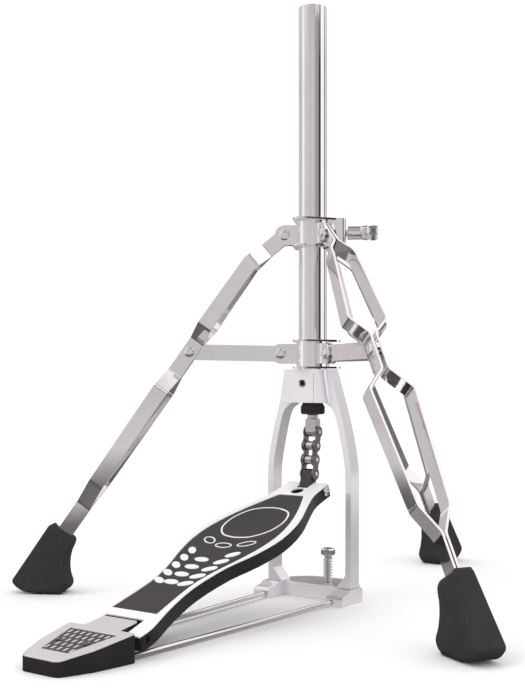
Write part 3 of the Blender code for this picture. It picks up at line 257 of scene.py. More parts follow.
def makePad():
    made, nodes, shader = newFinish("grip mat", specular=0.3)
    point = nodes.stretched()
    cells = nodes.node("ShaderNodeTexVoronoi", {}, {"Vector": point, "Scale": 1500.0})
    cloud = nodes.noise(point, 30.0, 4.0)
    grain = nodes.noise(point, 2600.0, 2.0)
    wireUp(nodes, shader, padLook, cloud * 0.8 + grain * 0.3, cloud,
           nodes.bump(cells + grain * 0.4, 0.3, 0.12))
    return made


panelLook = {"colours": ((0.035, 0.030, 0.036), (0.13, 0.12, 0.135)), "rough": (0.26, 0.48)}


def makePanel():
    made, nodes, shader = newFinish("dark plate", metallic=0.5)
    point = nodes.stretched()
    cloud = nodes.noise(point, 260.0, 4.0, 0.7)
    wireUp(nodes, shader, panelLook, cloud, cloud, nodes.bump(nodes.noise(point, 1500.0, 2.0), 0.25, 0.08))
    return made


rubberLook = {"colours": ((0.014, 0.012, 0.014), (0.048, 0.043, 0.047)), "rough": (0.55, 0.78)}


def makeRubber():
    made, nodes, shader = newFinish("moulded rubber", specular=0.28)
    point = nodes.stretched()
    skin = nodes.noise(point, 700.0, 4.0, 0.7)
    cloud = nodes.noise(point, 40.0, 5.0, 0.6, 0.5)
    streaks = nodes.noise(nodes.stretched((1.0, 1.0, 0.12)), 160.0, 4.0)
    wireUp(nodes, shader, rubberLook, cloud * 0.55 + streaks * 0.3, cloud,
           nodes.bump(skin + streaks * 0.6, 0.35, 0.22))
    return made


nylonLook = {"colours": ((0.02, 0.02, 0.022), (0.05, 0.048, 0.05)), "rough": (0.38, 0.58)}


def makeNylon():
    made, nodes, shader = newFinish("black nylon", specular=0.4)
    cloud = nodes.noise(nodes.stretched(), 300.0)
    wireUp(nodes, shader, nylonLook, cloud, cloud, nodes.bump(cloud, 0.2, 0.06))
    return made


chainLook = {"colours": ((0.36, 0.335, 0.335), (0.13, 0.12, 0.12)), "rough": (0.18, 0.42)}


def makeChainSteel():
    made, nodes, shader = newFinish("oiled chain steel", metallic=1.0)
    cloud = nodes.noise(nodes.stretched(), 210.0, 4.0, 0.65)
    grain = nodes.noise(nodes.stretched((0.2, 1.0, 1.0)), 2400.0, 2.0)
    wireUp(nodes, shader, chainLook, cloud, cloud, nodes.bump(grain + cloud, 0.2, 0.06))
    return made


floorLook = {"colours": ((0.97, 0.965, 0.97), (0.95, 0.945, 0.95)), "rough": (0.7, 0.8)}


def makeFloorPaint():
    made, nodes, shader = newFinish("pale floor", specular=0.2)
    cloud = nodes.noise(nodes.stretched(), 3.0)
    wireUp(nodes, shader, floorLook, cloud, cloud)
    return made


chrome = makeChrome()
zinc = makeZinc()
cast = makeCast()
trimSilver = makeSatin("satin silver", trimLook)
coverSilver = makeSatin("heel silver", coverLook)
blackCoat = makeBlack()
gripMat = makePad()
darkPlate = makePanel()
rubber = makeRubber()
nylon = makeNylon()
chainSteel = makeChainSteel()
print("finishes ready")


# shapes, all in millimetres until a piece is made
def turned(profile, segments=64, closed=False):
    # spins (radius, height) points about z
    shape = bmesh.new()
    points = [shape.verts.new((radius, 0.0, height)) for radius, height in profile]
    edges = [shape.edges.new(pair) for pair in zip(points, points[1:])]
    if closed:
        edges.append(shape.edges.new((points[-1], points[0])))
    bmesh.ops.spin(shape, geom=points + edges, cent=(0, 0, 0), axis=(0, 0, 1), angle=math.tau,
                   steps=segments)
    bmesh.ops.remove_doubles(shape, verts=shape.verts, dist=0.0005)
    return shape


def plate(outlines, low, high):
    # a flat plate along z; the outlines after the first are holes
    shape = bmesh.new()
    for outline in outlines:
        corners = [shape.verts.new((x, y, low)) for x, y in outline]
        for first, second in zip(corners, corners[1:] + corners[:1]):
            shape.edges.new((first, second))
    bmesh.ops.triangle_fill(shape, edges=shape.edges[:], use_beauty=True, use_dissolve=False)
    grown = bmesh.ops.extrude_face_region(shape, geom=shape.faces[:])["geom"]
    lifted = [item for item in grown if isinstance(item, bmesh.types.BMVert)]
    bmesh.ops.translate(shape, vec=(0, 0, high - low), verts=lifted)
    return shape


def merged(shapes):
    whole = bmesh.new()
    for shape in shapes:
        part = bpy.data.meshes.new("part")
        shape.to_mesh(part)
        shape.free()
        whole.from_mesh(part)
        bpy.data.meshes.remove(part)
    return whole


def moved(shape, matrix):
    shape.transform(matrix)
    return shape


def shift(x=0.0, y=0.0, z=0.0):
    return Matrix.Translation((x, y, z))


def turn(angle, axis="Z"):
    return Matrix.Rotation(math.radians(angle), 4, axis)


# local axes (x, y, z) become (y, z, x), and (z, x, y)
acrossX = Matrix(((0, 0, 1, 0), (1, 0, 0, 0), (0, 1, 0, 0), (0, 0, 0, 1)))
acrossY = Matrix(((0, 1, 0, 0), (0, 0, 1, 0), (1, 0, 0, 0), (0, 0, 0, 1)))


def circle(radius, steps=32, centre=(0.0, 0.0), start=0.0, sweep=360.0):
    count = steps if sweep >= 360.0 else steps + 1
    points = []
    for step in range(count):
        angle = math.radians(start + sweep * step / steps)
        points.append((centre[0] + radius * math.cos(angle), centre[1] + radius * math.sin(angle)))
    return points


def smoothLine(points, perSpan):
    ends = [points[0]] + list(points) + [points[-1]]
    line = []
    for index in range(1, len(ends) - 2):
        before, first, second, after = ends[index - 1:index + 3]
        for step in range(perSpan):
            t = step / perSpan
            line.append(tuple(0.5 * (2 * b + (c - a) * t + (2 * a - 5 * b + 4 * c - d) * t * t
                                     + (3 * b - a - 3 * c + d) * t ** 3)
                              for a, b, c, d in zip(before, first, second, after)))
    line.append(tuple(points[-1]))
    return line


def skinned(rings):
    # a closed skin over rings of points that all have as many points
    shape = bmesh.new()
    loops = [[shape.verts.new(point) for point in ring] for ring in rings]
    count = len(rings[0])
    for first, second in zip(loops, loops[1:]):
        for corner in range(count):
            following = (corner + 1) % count
            shape.faces.new((first[corner], first[following], second[following], second[corner]))
    shape.faces.new(loops[0])
    shape.faces.new(loops[-1])
    return shape


def rodProfile(radius, low, high, bevel=0.4, rise=0.4):
    return [(0.0, low), (radius - bevel, low), (radius, low + rise), (radius, high - rise),
            (radius - bevel, high), (0.0, high)]


def threadProfile(start, pitch, turns, first, second):
    # radii that step in and out along a threaded shank
    profile = []
    for step in range(turns):
        profile += [(first, start + step * pitch), (second, start + (step + 0.5) * pitch)]
    return profile


def meshOf(name, shape):
    mesh = bpy.data.meshes.new(name)
    shape.to_mesh(mesh)
    shape.free()
    return mesh


def newObject(name, data):
    made = bpy.data.objects.new(name, data)
    bpy.context.scene.collection.objects.link(made)
    return made


def finishPiece(name, mesh, material, body, stands=(), slot=None, edge=0.0, angle=32.0, segments=2):
    made = newObject(name, mesh)
    mesh.materials.clear()
    mesh.materials.append(material)
    mesh.shade_smooth()
    mesh.set_sharp_from_angle(angle=math.radians(angle))
    if edge:
        softened = made.modifiers.new("edges", "BEVEL")
        softened.width = edge * mm
        softened.segments = segments
        softened.limit_method = "ANGLE"
        softened.angle_limit = math.radians(angle)
        softened.harden_normals = True
    even = made.modifiers.new("even", "WEIGHTED_NORMAL")
    even.keep_sharp = True
    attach(made, body)
    if stands:
        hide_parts(*stands)


def addPiece(name, shape, *rest, **more):
    # rest and more are what finishPiece takes after its mesh
    bmesh.ops.recalc_face_normals(shape, faces=shape.faces)
    shape.transform(Matrix.Scale(mm, 4))
    finishPiece(name, meshOf(name, shape), *rest, **more)


def fromNode(node, name, material, body, slot, edge, segments=2, angle=35.0):
    # a merged copy of a CAD node with rounded edges
    shape = bmesh.new()
    shape.from_mesh(frame["nodes"][node].data)
    bmesh.ops.remove_doubles(shape, verts=shape.verts, dist=0.002 * mm)
    bmesh.ops.dissolve_limit(shape, angle_limit=math.radians(1.0), verts=shape.verts, edges=shape.edges)
    finishPiece(name, meshOf(name, shape), material, body, (node,), slot, edge, angle, segments)


# geometry node trees
def newTree(name, inputs):
    # every tree takes points, its sizes and a material
    tree = bpy.data.node_groups.new(name, "GeometryNodeTree")
    tree.interface.new_socket("Geometry", in_out="OUTPUT", socket_type="NodeSocketGeometry")
    tree.interface.new_socket("Geometry", in_out="INPUT", socket_type="NodeSocketGeometry")
    for label, value in inputs.items():
        kind = "NodeSocketInt" if isinstance(value, int) else "NodeSocketFloat"
        tree.interface.new_socket(label, in_out="INPUT", socket_type=kind).default_value = value
    tree.interface.new_socket("Material", in_out="INPUT", socket_type="NodeSocketMaterial")
    nodes = NodeSet(tree)
    source = tree.nodes.new("NodeGroupInput")
    fields = {socket.name: Wire(nodes, socket) for socket in source.outputs if socket.name}
    return nodes, fields


def closeTree(nodes, shape, material):
    solid = nodes.form("RealizeInstances", {"Geometry": shape})
    painted = nodes.form("SetMaterial", {"Geometry": solid, "Material": material})
    last = nodes.tree.nodes.new("NodeGroupOutput")
    nodes.feed(last.inputs["Geometry"], painted)
    return nodes.tree


def grow(name, tree, values, material, matrix, body, stands=(), slot=None, edge=0.0, start=None):
    # runs a tree once, keeps its result as a plain mesh and finishes that as a piece
    holder = newObject(name + "_maker", start or bpy.data.meshes.new(name))
    modifier = holder.modifiers.new("build", "NODES")
    modifier.node_group = tree
    given = {**values, "Material": material}
    for item in tree.interface.items_tree:
        if item.item_type == "SOCKET" and item.in_out == "INPUT" and item.name in given:
            modifier[item.identifier] = given[item.name]
    depsgraph = bpy.context.evaluated_depsgraph_get()
    mesh = bpy.data.meshes.new_from_object(holder.evaluated_get(depsgraph))
    holder.modifiers.remove(modifier)
    bpy.data.objects.remove(holder)
    mesh.transform(Matrix.Scale(mm, 4) @ matrix)
    finishPiece(name, mesh, material, body, stands, slot, edge)


def makeCoilTree():
    nodes, field = newTree("coil", {"Radius": 8.0, "Wire": 0.9, "Turns": 8.0, "Height": 50.0, "Steps": 24,
                                    "Sides": 10})
    line = nodes.form("CurveSpiral", {"Resolution": field["Steps"], "Rotations": field["Turns"],
                                      "Start Radius": field["Radius"], "End Radius": field["Radius"],
                                      "Height": field["Height"]})
    profile = nodes.form("CurvePrimitiveCircle", {"Resolution": field["Sides"], "Radius": field["Wire"]})
    tube = nodes.form("CurveToMesh", {"Curve": line, "Profile Curve": profile, "Fill Caps": True})
    return closeTree(nodes, tube, field["Material"])


def makeRidgeTree():
    # upright ridges round a circle, as on a knurled edge
    nodes, field = newTree("ridges", {"Count": 36, "Radius": 6.0, "Ridge": 0.4, "Height": 5.0, "Lift": 0.0})
    ring = nodes.form("MeshCircle", {"Vertices": field["Count"], "Radius": field["Radius"]})
    ridge = nodes.form("MeshCylinder", {"Vertices": 6, "Radius": field["Ridge"], "Depth": field["Height"]})
    copies = nodes.form("InstanceOnPoints", {"Points": ring, "Instance": ridge})
    lifted = nodes.form("Transform", {"Geometry": copies, "Translation": nodes.vector(z=field["Lift"])})
    return closeTree(nodes, lifted, field["Material"])


def facing(nodes):
    # a turn about z that points away from the axis
    x, y, _ = nodes.split(nodes.form("InputPosition", {}))
    return nodes.vector(z=nodes.maths("ARCTAN2", y, x))


def makeRivetTree():
    # three rivets round an axis, each with a domed head on both sides of its ears
    nodes, field = newTree("rivets", {"Pivot radius": 25.0, "Reach": 5.0, "Head radius": 4.9,
                                      "Head height": 1.6, "Start": 0.0, "Height": 0.0})
    ring = nodes.form("MeshCircle", {"Vertices": 3, "Radius": field["Pivot radius"]})
    dome = nodes.form("MeshUVSphere", {"Segments": 32, "Rings": 16, "Radius": 1.0})
    size = nodes.vector(field["Head radius"], field["Head height"], field["Head radius"])
    both = nodes.tree.nodes.new("GeometryNodeJoinGeometry")
    for side in (1.0, -1.0):
        nodes.feed(both.inputs[0], nodes.form("Transform", {
            "Geometry": dome, "Translation": nodes.vector(y=field["Reach"] * side), "Scale": size}))
    copies = nodes.form("InstanceOnPoints", {"Points": ring, "Rotation": facing(nodes),
                                             "Instance": Wire(nodes, both.outputs[0])})
    whole = nodes.form("Transform", {"Geometry": copies, "Translation": nodes.vector(z=field["Height"]),
                                     "Rotation": nodes.vector(z=field["Start"])})
    return closeTree(nodes, whole, field["Material"])


def makeStudTree():
    # flat studs on points that carry their own turn and size
    nodes, field = newTree("studs", {"Thickness": 0.6})
    disc = nodes.form("MeshCylinder", {"Vertices": 28, "Radius": 1.0, "Depth": 1.0})
    angle, long, wide = [nodes.form("InputNamedAttribute", {"Name": name}, {"data_type": "FLOAT"})
                         for name in ("turn", "long", "wide")]
    copies = nodes.form("InstanceOnPoints", {"Points": field["Geometry"], "Instance": disc,
                                             "Rotation": nodes.vector(z=angle),
                                             "Scale": nodes.vector(long, wide, field["Thickness"])})
    return closeTree(nodes, copies, field["Material"])


def makeBarTree():
    # rows of short bars laid like bricks, kept inside a tapering panel
    nodes, field = newTree("bars", {"Rows": 5, "Columns": 9, "Row gap": 7.4, "Column gap": 6.2,
                                    "Bar length": 4.2, "Bar width": 1.7, "Bar height": 0.5,
                                    "Wide half": 20.0, "Narrow half": 11.0, "Half length": 19.0})
    rows, columns = field["Rows"], field["Columns"]
    grid = nodes.form("MeshGrid", {"Vertices X": columns, "Vertices Y": rows,
                                   "Size X": (columns - 1.0) * field["Column gap"],
                                   "Size Y": (rows - 1.0) * field["Row gap"]})
    x, y, _ = nodes.split(nodes.form("InputPosition", {}))
    odd = nodes.maths("PINGPONG", nodes.maths("ROUND", y / field["Row gap"]), 1.0)
    laid = nodes.form("SetPosition", {"Geometry": grid,
                                      "Offset": nodes.vector(odd * field["Column gap"] * 0.5)})
    share = (y / field["Half length"] + 1.0) * 0.5
    limit = field["Narrow half"] + share * (field["Wide half"] - field["Narrow half"])
    outside = nodes.node("FunctionNodeCompare", {"data_type": "FLOAT", "operation": "GREATER_THAN"},
                         {0: nodes.maths("ABSOLUTE", x), 1: limit})
    kept = nodes.form("DeleteGeometry", {"Geometry": laid, "Selection": outside}, {"domain": "POINT"})
    bar = nodes.form("MeshCube", {"Size": nodes.vector(field["Bar width"], field["Bar length"],
                                                       field["Bar height"])})
    copies = nodes.form("InstanceOnPoints", {"Points": kept, "Instance": bar})
    return closeTree(nodes, copies, field["Material"])


coilTree = makeCoilTree()
ridgeTree = makeRidgeTree()
rivetTree = makeRivetTree()
studTree = makeStudTree()
barTree = makeBarTree()
print("node trees ready")


# base tube and what runs inside it
tubeSizes = {"radius": 12.7, "wall": 1.6, "rim": 0.4}


def makeBaseTube():
    low, high = boxOf("base_tube")
    radius, rim = tubeSizes["radius"], tubeSizes["rim"]
    inner = radius - tubeSizes["wall"]
    profile = [(inner, low.z), (radius, low.z), (radius, high.z - rim), (radius - rim, high.z),
               (inner + rim, high.z), (inner, high.z - rim)]
    addPiece("baseTube", turned(profile, 128, closed=True), chrome, "stand", ["base_tube"], "chrome")


rodSizes = {"radius": 3.0, "neck": 5.0, "neckLow": 162.3, "neckHigh": 166.0, "collar": 9.8,
            "collarLow": 300.0, "collarHigh": 304.0, "edge": 0.4, "end": 1.0}


def makePullRod():
    sizes = rodSizes
    low, high = boxOf("pull_rod")
    radius, neck, edge, end = sizes["radius"], sizes["neck"], sizes["edge"], sizes["end"]
    neckLow, neckHigh, collarLow, collarHigh = (sizes[key] for key in ("neckLow", "neckHigh", "collarLow",
                                                                       "collarHigh"))
    profile = [(0.0, low.z), (radius, low.z), (radius, neckLow), (neck - edge, neckLow),
               (neck, neckLow + edge), (neck, neckHigh - edge), (neck - edge, neckHigh), (radius, neckHigh),
               (radius, collarLow), (sizes["collar"], collarLow), (sizes["collar"], collarHigh),
               (radius, collarHigh), (radius, high.z - end), (radius - end, high.z), (0.0, high.z)]
    addPiece("pullRod", turned(profile, 48), zinc, "pull", ["pull_rod"], "steel")


bumperSizes = {"radius": 10.55, "lip": 9.5, "bore": 3.3, "ridges": 54, "ridge": 0.4}


def makeBumper():
    sizes = bumperSizes
    low, high = boxOf("stop_bumper")
    radius, lip, bore = sizes["radius"], sizes["lip"], sizes["bore"]
    profile = [(bore, low.z), (radius - 1.0, low.z), (radius - 0.3, low.z + 0.3), (radius, low.z + 1.0),
               (radius, high.z - 3.0), (radius - 0.4, high.z - 2.3), (lip + 0.3, high.z - 1.9),
               (lip, high.z - 1.5), (lip, high.z - 0.6), (lip - 0.6, high.z), (bore, high.z)]
    addPiece("stopBumper", turned(profile, 96, closed=True), rubber, "pull", ["stop_bumper"], "rubber")
    grow("bumperGrip", ridgeTree, {
        "Count": sizes["ridges"], "Radius": radius - 0.06, "Ridge": sizes["ridge"],
        "Height": high.z - low.z - 4.6, "Lift": (low.z + high.z) * 0.5 - 1.0}, rubber, shift(), "pull",
        slot="rubber")


springSizes = {"radius": 8.0, "wire": 0.85, "turns": 11.0, "steps": 28, "gap": 0.9}


def makeSpring(name, node, sizes, x=0.0, y=0.0):
    low, high = boxOf(node)
    grow(name, coilTree, {
        "Radius": sizes["radius"], "Wire": sizes["wire"], "Turns": sizes["turns"], "Steps": sizes["steps"],
        "Height": high.z - low.z - 2 * sizes["gap"], "Sides": 10}, zinc, shift(x, y, low.z + sizes["gap"]),
        "stand", [node], "steel")


makeBaseTube()
makePullRod()
makeBumper()
makeSpring("returnSpring", "return_spring", springSizes)
for place in frame["nodes"]["guide_bush"].material_slots:
    place.material = nylon
print("tube and pull rod ready")

# tripod
collarSizes = {"wall": 1.8, "height": 26.0, "bore": 13.0, "corner": 25.5, "fillet": 9.0, "ear": 9.0,
               "upperPivot": (25.2, 328.3), "lowerPivot": (28.9, 221.0), "upperEar": 3.1, "lowerEar": 1.8,
               "upperDrop": 11.3, "lowerDrop": 13.4, "lug": (30.0, 7.5), "lugFillet": 3.4, "lugTurn": 30.0}
flangeAzimuths = (30.0, 150.0, 270.0)


def collarShapes(low, pivotRadius, pivotHeight, earFace):
    sizes = collarSizes
    wall, bore, high = sizes["wall"], sizes["bore"], low + sizes["height"]
    centre = sizes["corner"] - sizes["fillet"]
    flange = []
    for azimuth in flangeAzimuths:
        angle = math.radians(azimuth)
        flange += circle(sizes["fillet"], 16, (centre * math.cos(angle), centre * math.sin(angle)),
                         azimuth - 60, 120)
    band = bore + wall
    sleeve = [(bore, low + 0.2), (band, low + 0.2), (band, high - 0.2), (bore, high - 0.2)]
    shapes = [turned(sleeve, 96, closed=True)]
    for level in (low, high - wall):
        shapes.append(plate([flange, circle(bore, 64)], level, level + wall))
    root = bore + wall * 0.5
    ear = [(pivotHeight - sizes["ear"], root)]
    ear += circle(sizes["ear"], 24, (pivotHeight, pivotRadius), 180, -180)
    ear += [(pivotHeight + sizes["ear"], root)]
    for azimuth in legAzimuths.values():
        for face in (earFace, -earFace - wall):
            shapes.append(moved(plate([ear], face, face + wall), turn(azimuth) @ acrossY))
    return shapes


def makeCollars():
    sizes = collarSizes
    radius, height = sizes["lowerPivot"]
    lower = collarShapes(height - sizes["lowerDrop"], radius, height, sizes["lowerEar"])
    addPiece("lowerCollar", merged(lower), chrome, "tripod_hub", ["lower_collar"], "chrome", 0.35)
    radius, height = sizes["upperPivot"]
    low = height - sizes["upperDrop"]
    upper = collarShapes(low, radius, height, sizes["upperEar"])
    (reach, half), fillet, root = sizes["lug"], sizes["lugFillet"], sizes["bore"] + 0.7
    lug = [(root, -half)] + circle(fillet, 8, (reach - fillet, fillet - half), -90, 90)
    lug += circle(fillet, 8, (reach - fillet, half - fillet), 0, 90) + [(root, half)]
    upper.append(moved(plate([lug], low, low + sizes["height"]), turn(sizes["lugTurn"])))
    addPiece("upperCollar", merged(upper), chrome, "slider", ["upper_collar"], "chrome", 0.35)


rivetSizes = {"head": 4.9, "rise": 1.6, "wall": 1.8, "gap": 0.05}


def makeCollarRivets():
    for body, node, pivot, ear in (("slider", "upper", "upperPivot", "upperEar"),
                                   ("tripod_hub", "lower", "lowerPivot", "lowerEar")):
        radius, height = collarSizes[pivot]
        grow(node + "Rivets", rivetTree, {
            "Pivot radius": radius, "Reach": collarSizes[ear] + rivetSizes["wall"] + rivetSizes["gap"],
            "Head radius": rivetSizes["head"], "Head height": rivetSizes["rise"],
            "Start": math.radians(legAzimuths["rear"]), "Height": height}, chrome, shift(), body,
            [node + "_rivet_" + side for side in legAzimuths], "steel")


# lengths run down the leg from its upper pivot; knee and foot are (distance from the axis, height)
# aroundBrace says how far from the brace's rivet the bow ends and the held part runs, and aboveFoot
# how far over the foot the last bow ends and the pinch begins
stripSizes = {"width": 14.0, "thickness": 2.2, "nip": 1.6, "bows": (10.5, 18.0, 20.5, 14.0), "held": 2.9,
              "brace": 138.1, "knee": (56.5, 302.5), "foot": (229.5, 56.4), "inFoot": 16.0, "bendReach": 2.6,
              "kneeBend": 3.0, "pinchEnd": 21.5, "kneeLead": 5.5, "capSteps": 12,
              "aroundBrace": (-28.0, -13.0, 23.0, 42.0), "aboveFoot": (55.0, 32.0)}


def legPath():
    start = Vector(collarSizes["upperPivot"])
    knee, foot = Vector(stripSizes["knee"]), Vector(stripSizes["foot"])
    return start, knee, foot, (knee - start).length, (knee - start).length + (foot - knee).length


def legSpot(along):
    # place on a leg's middle line, and the direction across its width
    start, knee, foot, kneeAlong, _ = legPath()
    first, second = (knee - start).normalized(), (foot - knee).normalized()
    acrossFirst, acrossSecond = Vector((-first.y, first.x)), Vector((-second.y, second.x))
    share = min(max((along - kneeAlong) / stripSizes["kneeBend"] * 0.5 + 0.5, 0.0), 1.0)
    across = (acrossFirst * (1 - share) + acrossSecond * share).normalized()
    spot = start + first * along if along < kneeAlong else knee + second * (along - kneeAlong)
    return spot, across


def bentRoute(stations, reach, steps=4):
    # rounds the corners of an open run of points
    route = [Vector(stations[0])]
    for before, here, after in zip(stations, stations[1:], stations[2:]):
        here = Vector(here)
        toward, away = Vector(before) - here, Vector(after) - here
        size = min(reach, toward.length * 0.45, away.length * 0.45)
        first, last = here + toward.normalized() * size, here + away.normalized() * size
        for step in range(steps + 1):
            t = step / steps
            route.append(first * (1 - t) ** 2 + here * 2 * t * (1 - t) + last * t * t)
    return route + [Vector(stations[-1])]


def stripShape(side):
    # one bowed strip: pinched at the collar, held at the brace, and pinched again in the foot
    sizes = stripSizes
    kneeAlong, footAlong = legPath()[3:]
    brace, nip, held, lead = sizes["brace"], sizes["nip"], sizes["held"], sizes["kneeLead"]
    kneeBow, upperBow, lowerBow, footBow = sizes["bows"]
    above, heldLow, heldHigh, below = (brace + place for place in sizes["aroundBrace"])
    footBowEnd, pinchStart = (footAlong - place for place in sizes["aboveFoot"])
    stations = [(0.0, nip), (sizes["pinchEnd"], nip), (kneeAlong - lead, kneeBow), (above, upperBow),
                (heldLow, held), (heldHigh, held), (below, lowerBow), (footBowEnd, footBow),
                (pinchStart, nip), (footAlong + sizes["inFoot"], nip)]
    half, skin = sizes["width"] * 0.5, sizes["thickness"] * 0.5
    route = bentRoute(stations, sizes["bendReach"])
    slope = (upperBow - kneeBow) / (above - kneeAlong + lead)
    for step in (-1.5, -0.75, 0.0, 0.75, 1.5):
        route.append(Vector((kneeAlong + step, kneeBow + slope * (lead + step))))
    route.sort(key=lambda point: point.x)
    rows = []
    for step in range(sizes["capSteps"]):
        angle = math.radians(6 + 84 * step / sizes["capSteps"])
        rows.append((Vector((-half * math.cos(angle), nip)), Vector((0, 1)), half * math.sin(angle)))
    for index, here in enumerate(route):
        run = (route[min(index + 1, len(route) - 1)] - route[max(index - 1, 0)]).normalized()
        rows.append((here, Vector((-run.y, run.x)), half))
    rings = []
    for spot, normal, width in rows:
        ring = []
        for offset, sign in ((-skin, -1), (-skin, 1), (skin, 1), (skin, -1)):
            place = spot + normal * offset
            centre, across = legSpot(place.x)
            corner = centre + across * width * sign
            ring.append((corner.x, side * place.y, corner.y))
        rings.append(ring)
    return skinned(rings)


# outlines are (distance past the foot's start, height); each layer is (place, share of the outline)
footSizes = {"topHalf": 8.6, "soleHalf": 13.8, "low": 12.0, "high": 62.0, "start": 229.5,
             "teeth": 6, "tooth": 1.5, "soleStart": 2.6, "soleEnd": 28.5, "middle": (14.0, 26.0),
             "layers": ((-1.0, 0.86), (-0.97, 0.925), (-0.9, 0.965), (-0.78, 1.0), (0.78, 1.0),
                        (0.9, 0.965), (0.97, 0.925), (1.0, 0.86)),
             "outer": ((28.5, 1.2), (36.5, 2.4), (42.5, 5.4), (46.6, 9.4), (47.4, 12.2), (45.6, 15.6),
                       (30.5, 38.0), (16.0, 59.8), (13.6, 62.8), (11.0, 63.9), (9.2, 61.4)),
             "inner": ((-6.6, 52.2), (-8.4, 49.0), (-7.0, 44.0), (-4.2, 38.0), (-2.2, 28.0), (-2.6, 18.0),
                       (-4.6, 11.0), (-4.6, 7.4), (-2.4, 3.6), (1.6, 0.9))}


def footShape():
    sizes = footSizes
    start, tooth = sizes["start"], sizes["tooth"]
    outline = [(height, start + reach) for side in ("outer", "inner")
               for reach, height in smoothLine(sizes[side], 3)]
    step = (sizes["soleEnd"] - sizes["soleStart"]) / sizes["teeth"]
    for index in range(sizes["teeth"]):
        place = start + sizes["soleStart"] + index * step
        outline += [(0.0, place), (0.0, place + step * 0.55), (tooth, place + step * 0.66),
                    (tooth, place + step * 0.9)]
    centre = Vector((sizes["middle"][1], start + sizes["middle"][0]))
    rings = []
    for place, share in sizes["layers"]:
        ring = []
        for point in outline:
            spot = centre + (Vector(point) - centre) * share
            rise = min(max((spot.x - sizes["low"]) / (sizes["high"] - sizes["low"]), 0.0), 1.0)
            half = sizes["soleHalf"] + (sizes["topHalf"] - sizes["soleHalf"]) * rise
            ring.append((spot.x, spot.y, place * half))
        rings.append(ring)
    return moved(skinned(rings), acrossY)


braceSizes = {"height": 14.4, "thickness": 3.0, "rivetReach": 4.05}


def makeLegs():
    lowerPivot = Vector(collarSizes["lowerPivot"])
    end = legSpot(stripSizes["brace"])[0]
    run = end - lowerPivot
    lean = math.degrees(math.atan2(run.x, run.y))
    radius, half = braceSizes["height"] * 0.5, braceSizes["thickness"] * 0.5
    bar = circle(radius, 20, (end.y, end.x), lean + 90, -180)
    bar += circle(radius, 20, (lowerPivot.y, lowerPivot.x), lean - 90, -180)
    reach = braceSizes["rivetReach"]
    head, rise = rivetSizes["head"], rivetSizes["rise"]
    dome = [(head * math.cos(math.radians(step)), reach + rise * math.sin(math.radians(step)))
            for step in range(0, 85, 12)] + [(0.0, reach + rise)]
    for side, azimuth in legAzimuths.items():
        spin = turn(azimuth)
        for mark, sign in (("A", 1), ("B", -1)):
            addPiece(side + "Strip" + mark, moved(stripShape(sign), spin), chrome, "leg_" + side,
                     [f"leg_{side}_strip_{mark.lower()}"], "chrome", 0.4)
        addPiece(side + "Foot", moved(footShape(), spin), rubber, "leg_" + side, ["foot_" + side],
                 "rubber", angle=50.0)
        addPiece(side + "Brace", moved(plate([bar], -half, half), spin @ acrossY), chrome,
                 "strut_" + side, ["brace_" + side], "chrome", 0.45)
        heads = []
        for sign in (1, -1):
            profile = [(0.0, sign * (reach - 0.3)), (head, sign * (reach - 0.3))]
            profile += [(r, sign * h) for r, h in dome]
            heads.append(moved(turned(profile, 40), spin @ shift(end.x, 0, end.y) @ acrossY))
        addPiece(side + "BraceRivet", merged(heads), chrome, "leg_" + side,
                 [f"brace_rivet_{side}_a", f"brace_rivet_{side}_b"], "steel")


wingSizes = {"azimuth": 30.0, "height": 330.0, "thread": 3.0, "core": 2.6, "tip": 13.0, "pitch": 0.78,
             "turns": 23, "barrel": 6.0, "seat": 31.2, "length": 12.5, "hub": 6.0, "turn": 23.0, "half": 2.6,
             "lobe": 4.2, "reach": 9.0, "spread": 11.2}


def makeWingBolt():
    sizes = wingSizes
    seat, barrel, core, tip, lobe = (sizes[key] for key in ("seat", "barrel", "core", "tip", "lobe"))
    barrelEnd = seat + sizes["length"]
    hubEnd = barrelEnd + sizes["hub"]
    stand = shift(z=sizes["height"]) @ turn(sizes["azimuth"])
    profile = [(0.0, tip), (core, tip)]
    profile += threadProfile(tip + 0.4, sizes["pitch"], sizes["turns"], sizes["thread"], core)
    profile += [(core, seat), (barrel - 0.7, seat), (barrel, seat + 0.7), (barrel, barrelEnd - 0.5),
                (barrel - 0.5, barrelEnd), (barrel + 0.2, barrelEnd + 0.7), (barrel + 0.8, hubEnd - 0.6),
                (barrel + 0.2, hubEnd + 0.4), (barrel - 1.2, hubEnd + 1.2), (0.0, hubEnd + 1.5)]
    shapes = [moved(turned(profile, 64), stand @ acrossX)]
    lobeAt = hubEnd + sizes["reach"] - lobe
    for side in (1, -1):
        outline = [(barrelEnd - 1.0, 0.0), (barrelEnd - 1.0, side * 4.0)]
        outline += smoothLine([(barrelEnd + 1.0, side * 6.0), (barrelEnd + 3.6, side * 9.0),
                               (hubEnd - 0.6, side * 11.6)], 5)
        outline += circle(lobe, 16, (lobeAt, side * sizes["spread"]), 120 * side, -180 * side)
        outline += smoothLine([(hubEnd + 2.4, side * 6.4), (hubEnd + 0.6, side * 3.0), (hubEnd, 0.0)], 4)
        shapes.append(moved(plate([outline], -sizes["half"], sizes["half"]),
                            stand @ turn(sizes["turn"], "X")))
    addPiece("wingBolt", merged(shapes), chrome, "wing", ["wing_bolt"], "chrome", 0.9, 40.0, 3)


makeCollars()
makeCollarRivets()
makeLegs()
makeWingBolt()
print("tripod ready")

# pedal frame, base and spur
fromNode("pedal_frame", "pedalFrame", cast, "stand", "cast", 0.9, 3)
fromNode("base_plate", "basePlate", cast, "stand", "cast", 0.6)

screwSizes = {"front": -16.9, "back": -13.0, "height": 194.5, "radius": 3.0, "socket": 1.55,
              "rim": (2.9, 3.3, 3.9)}


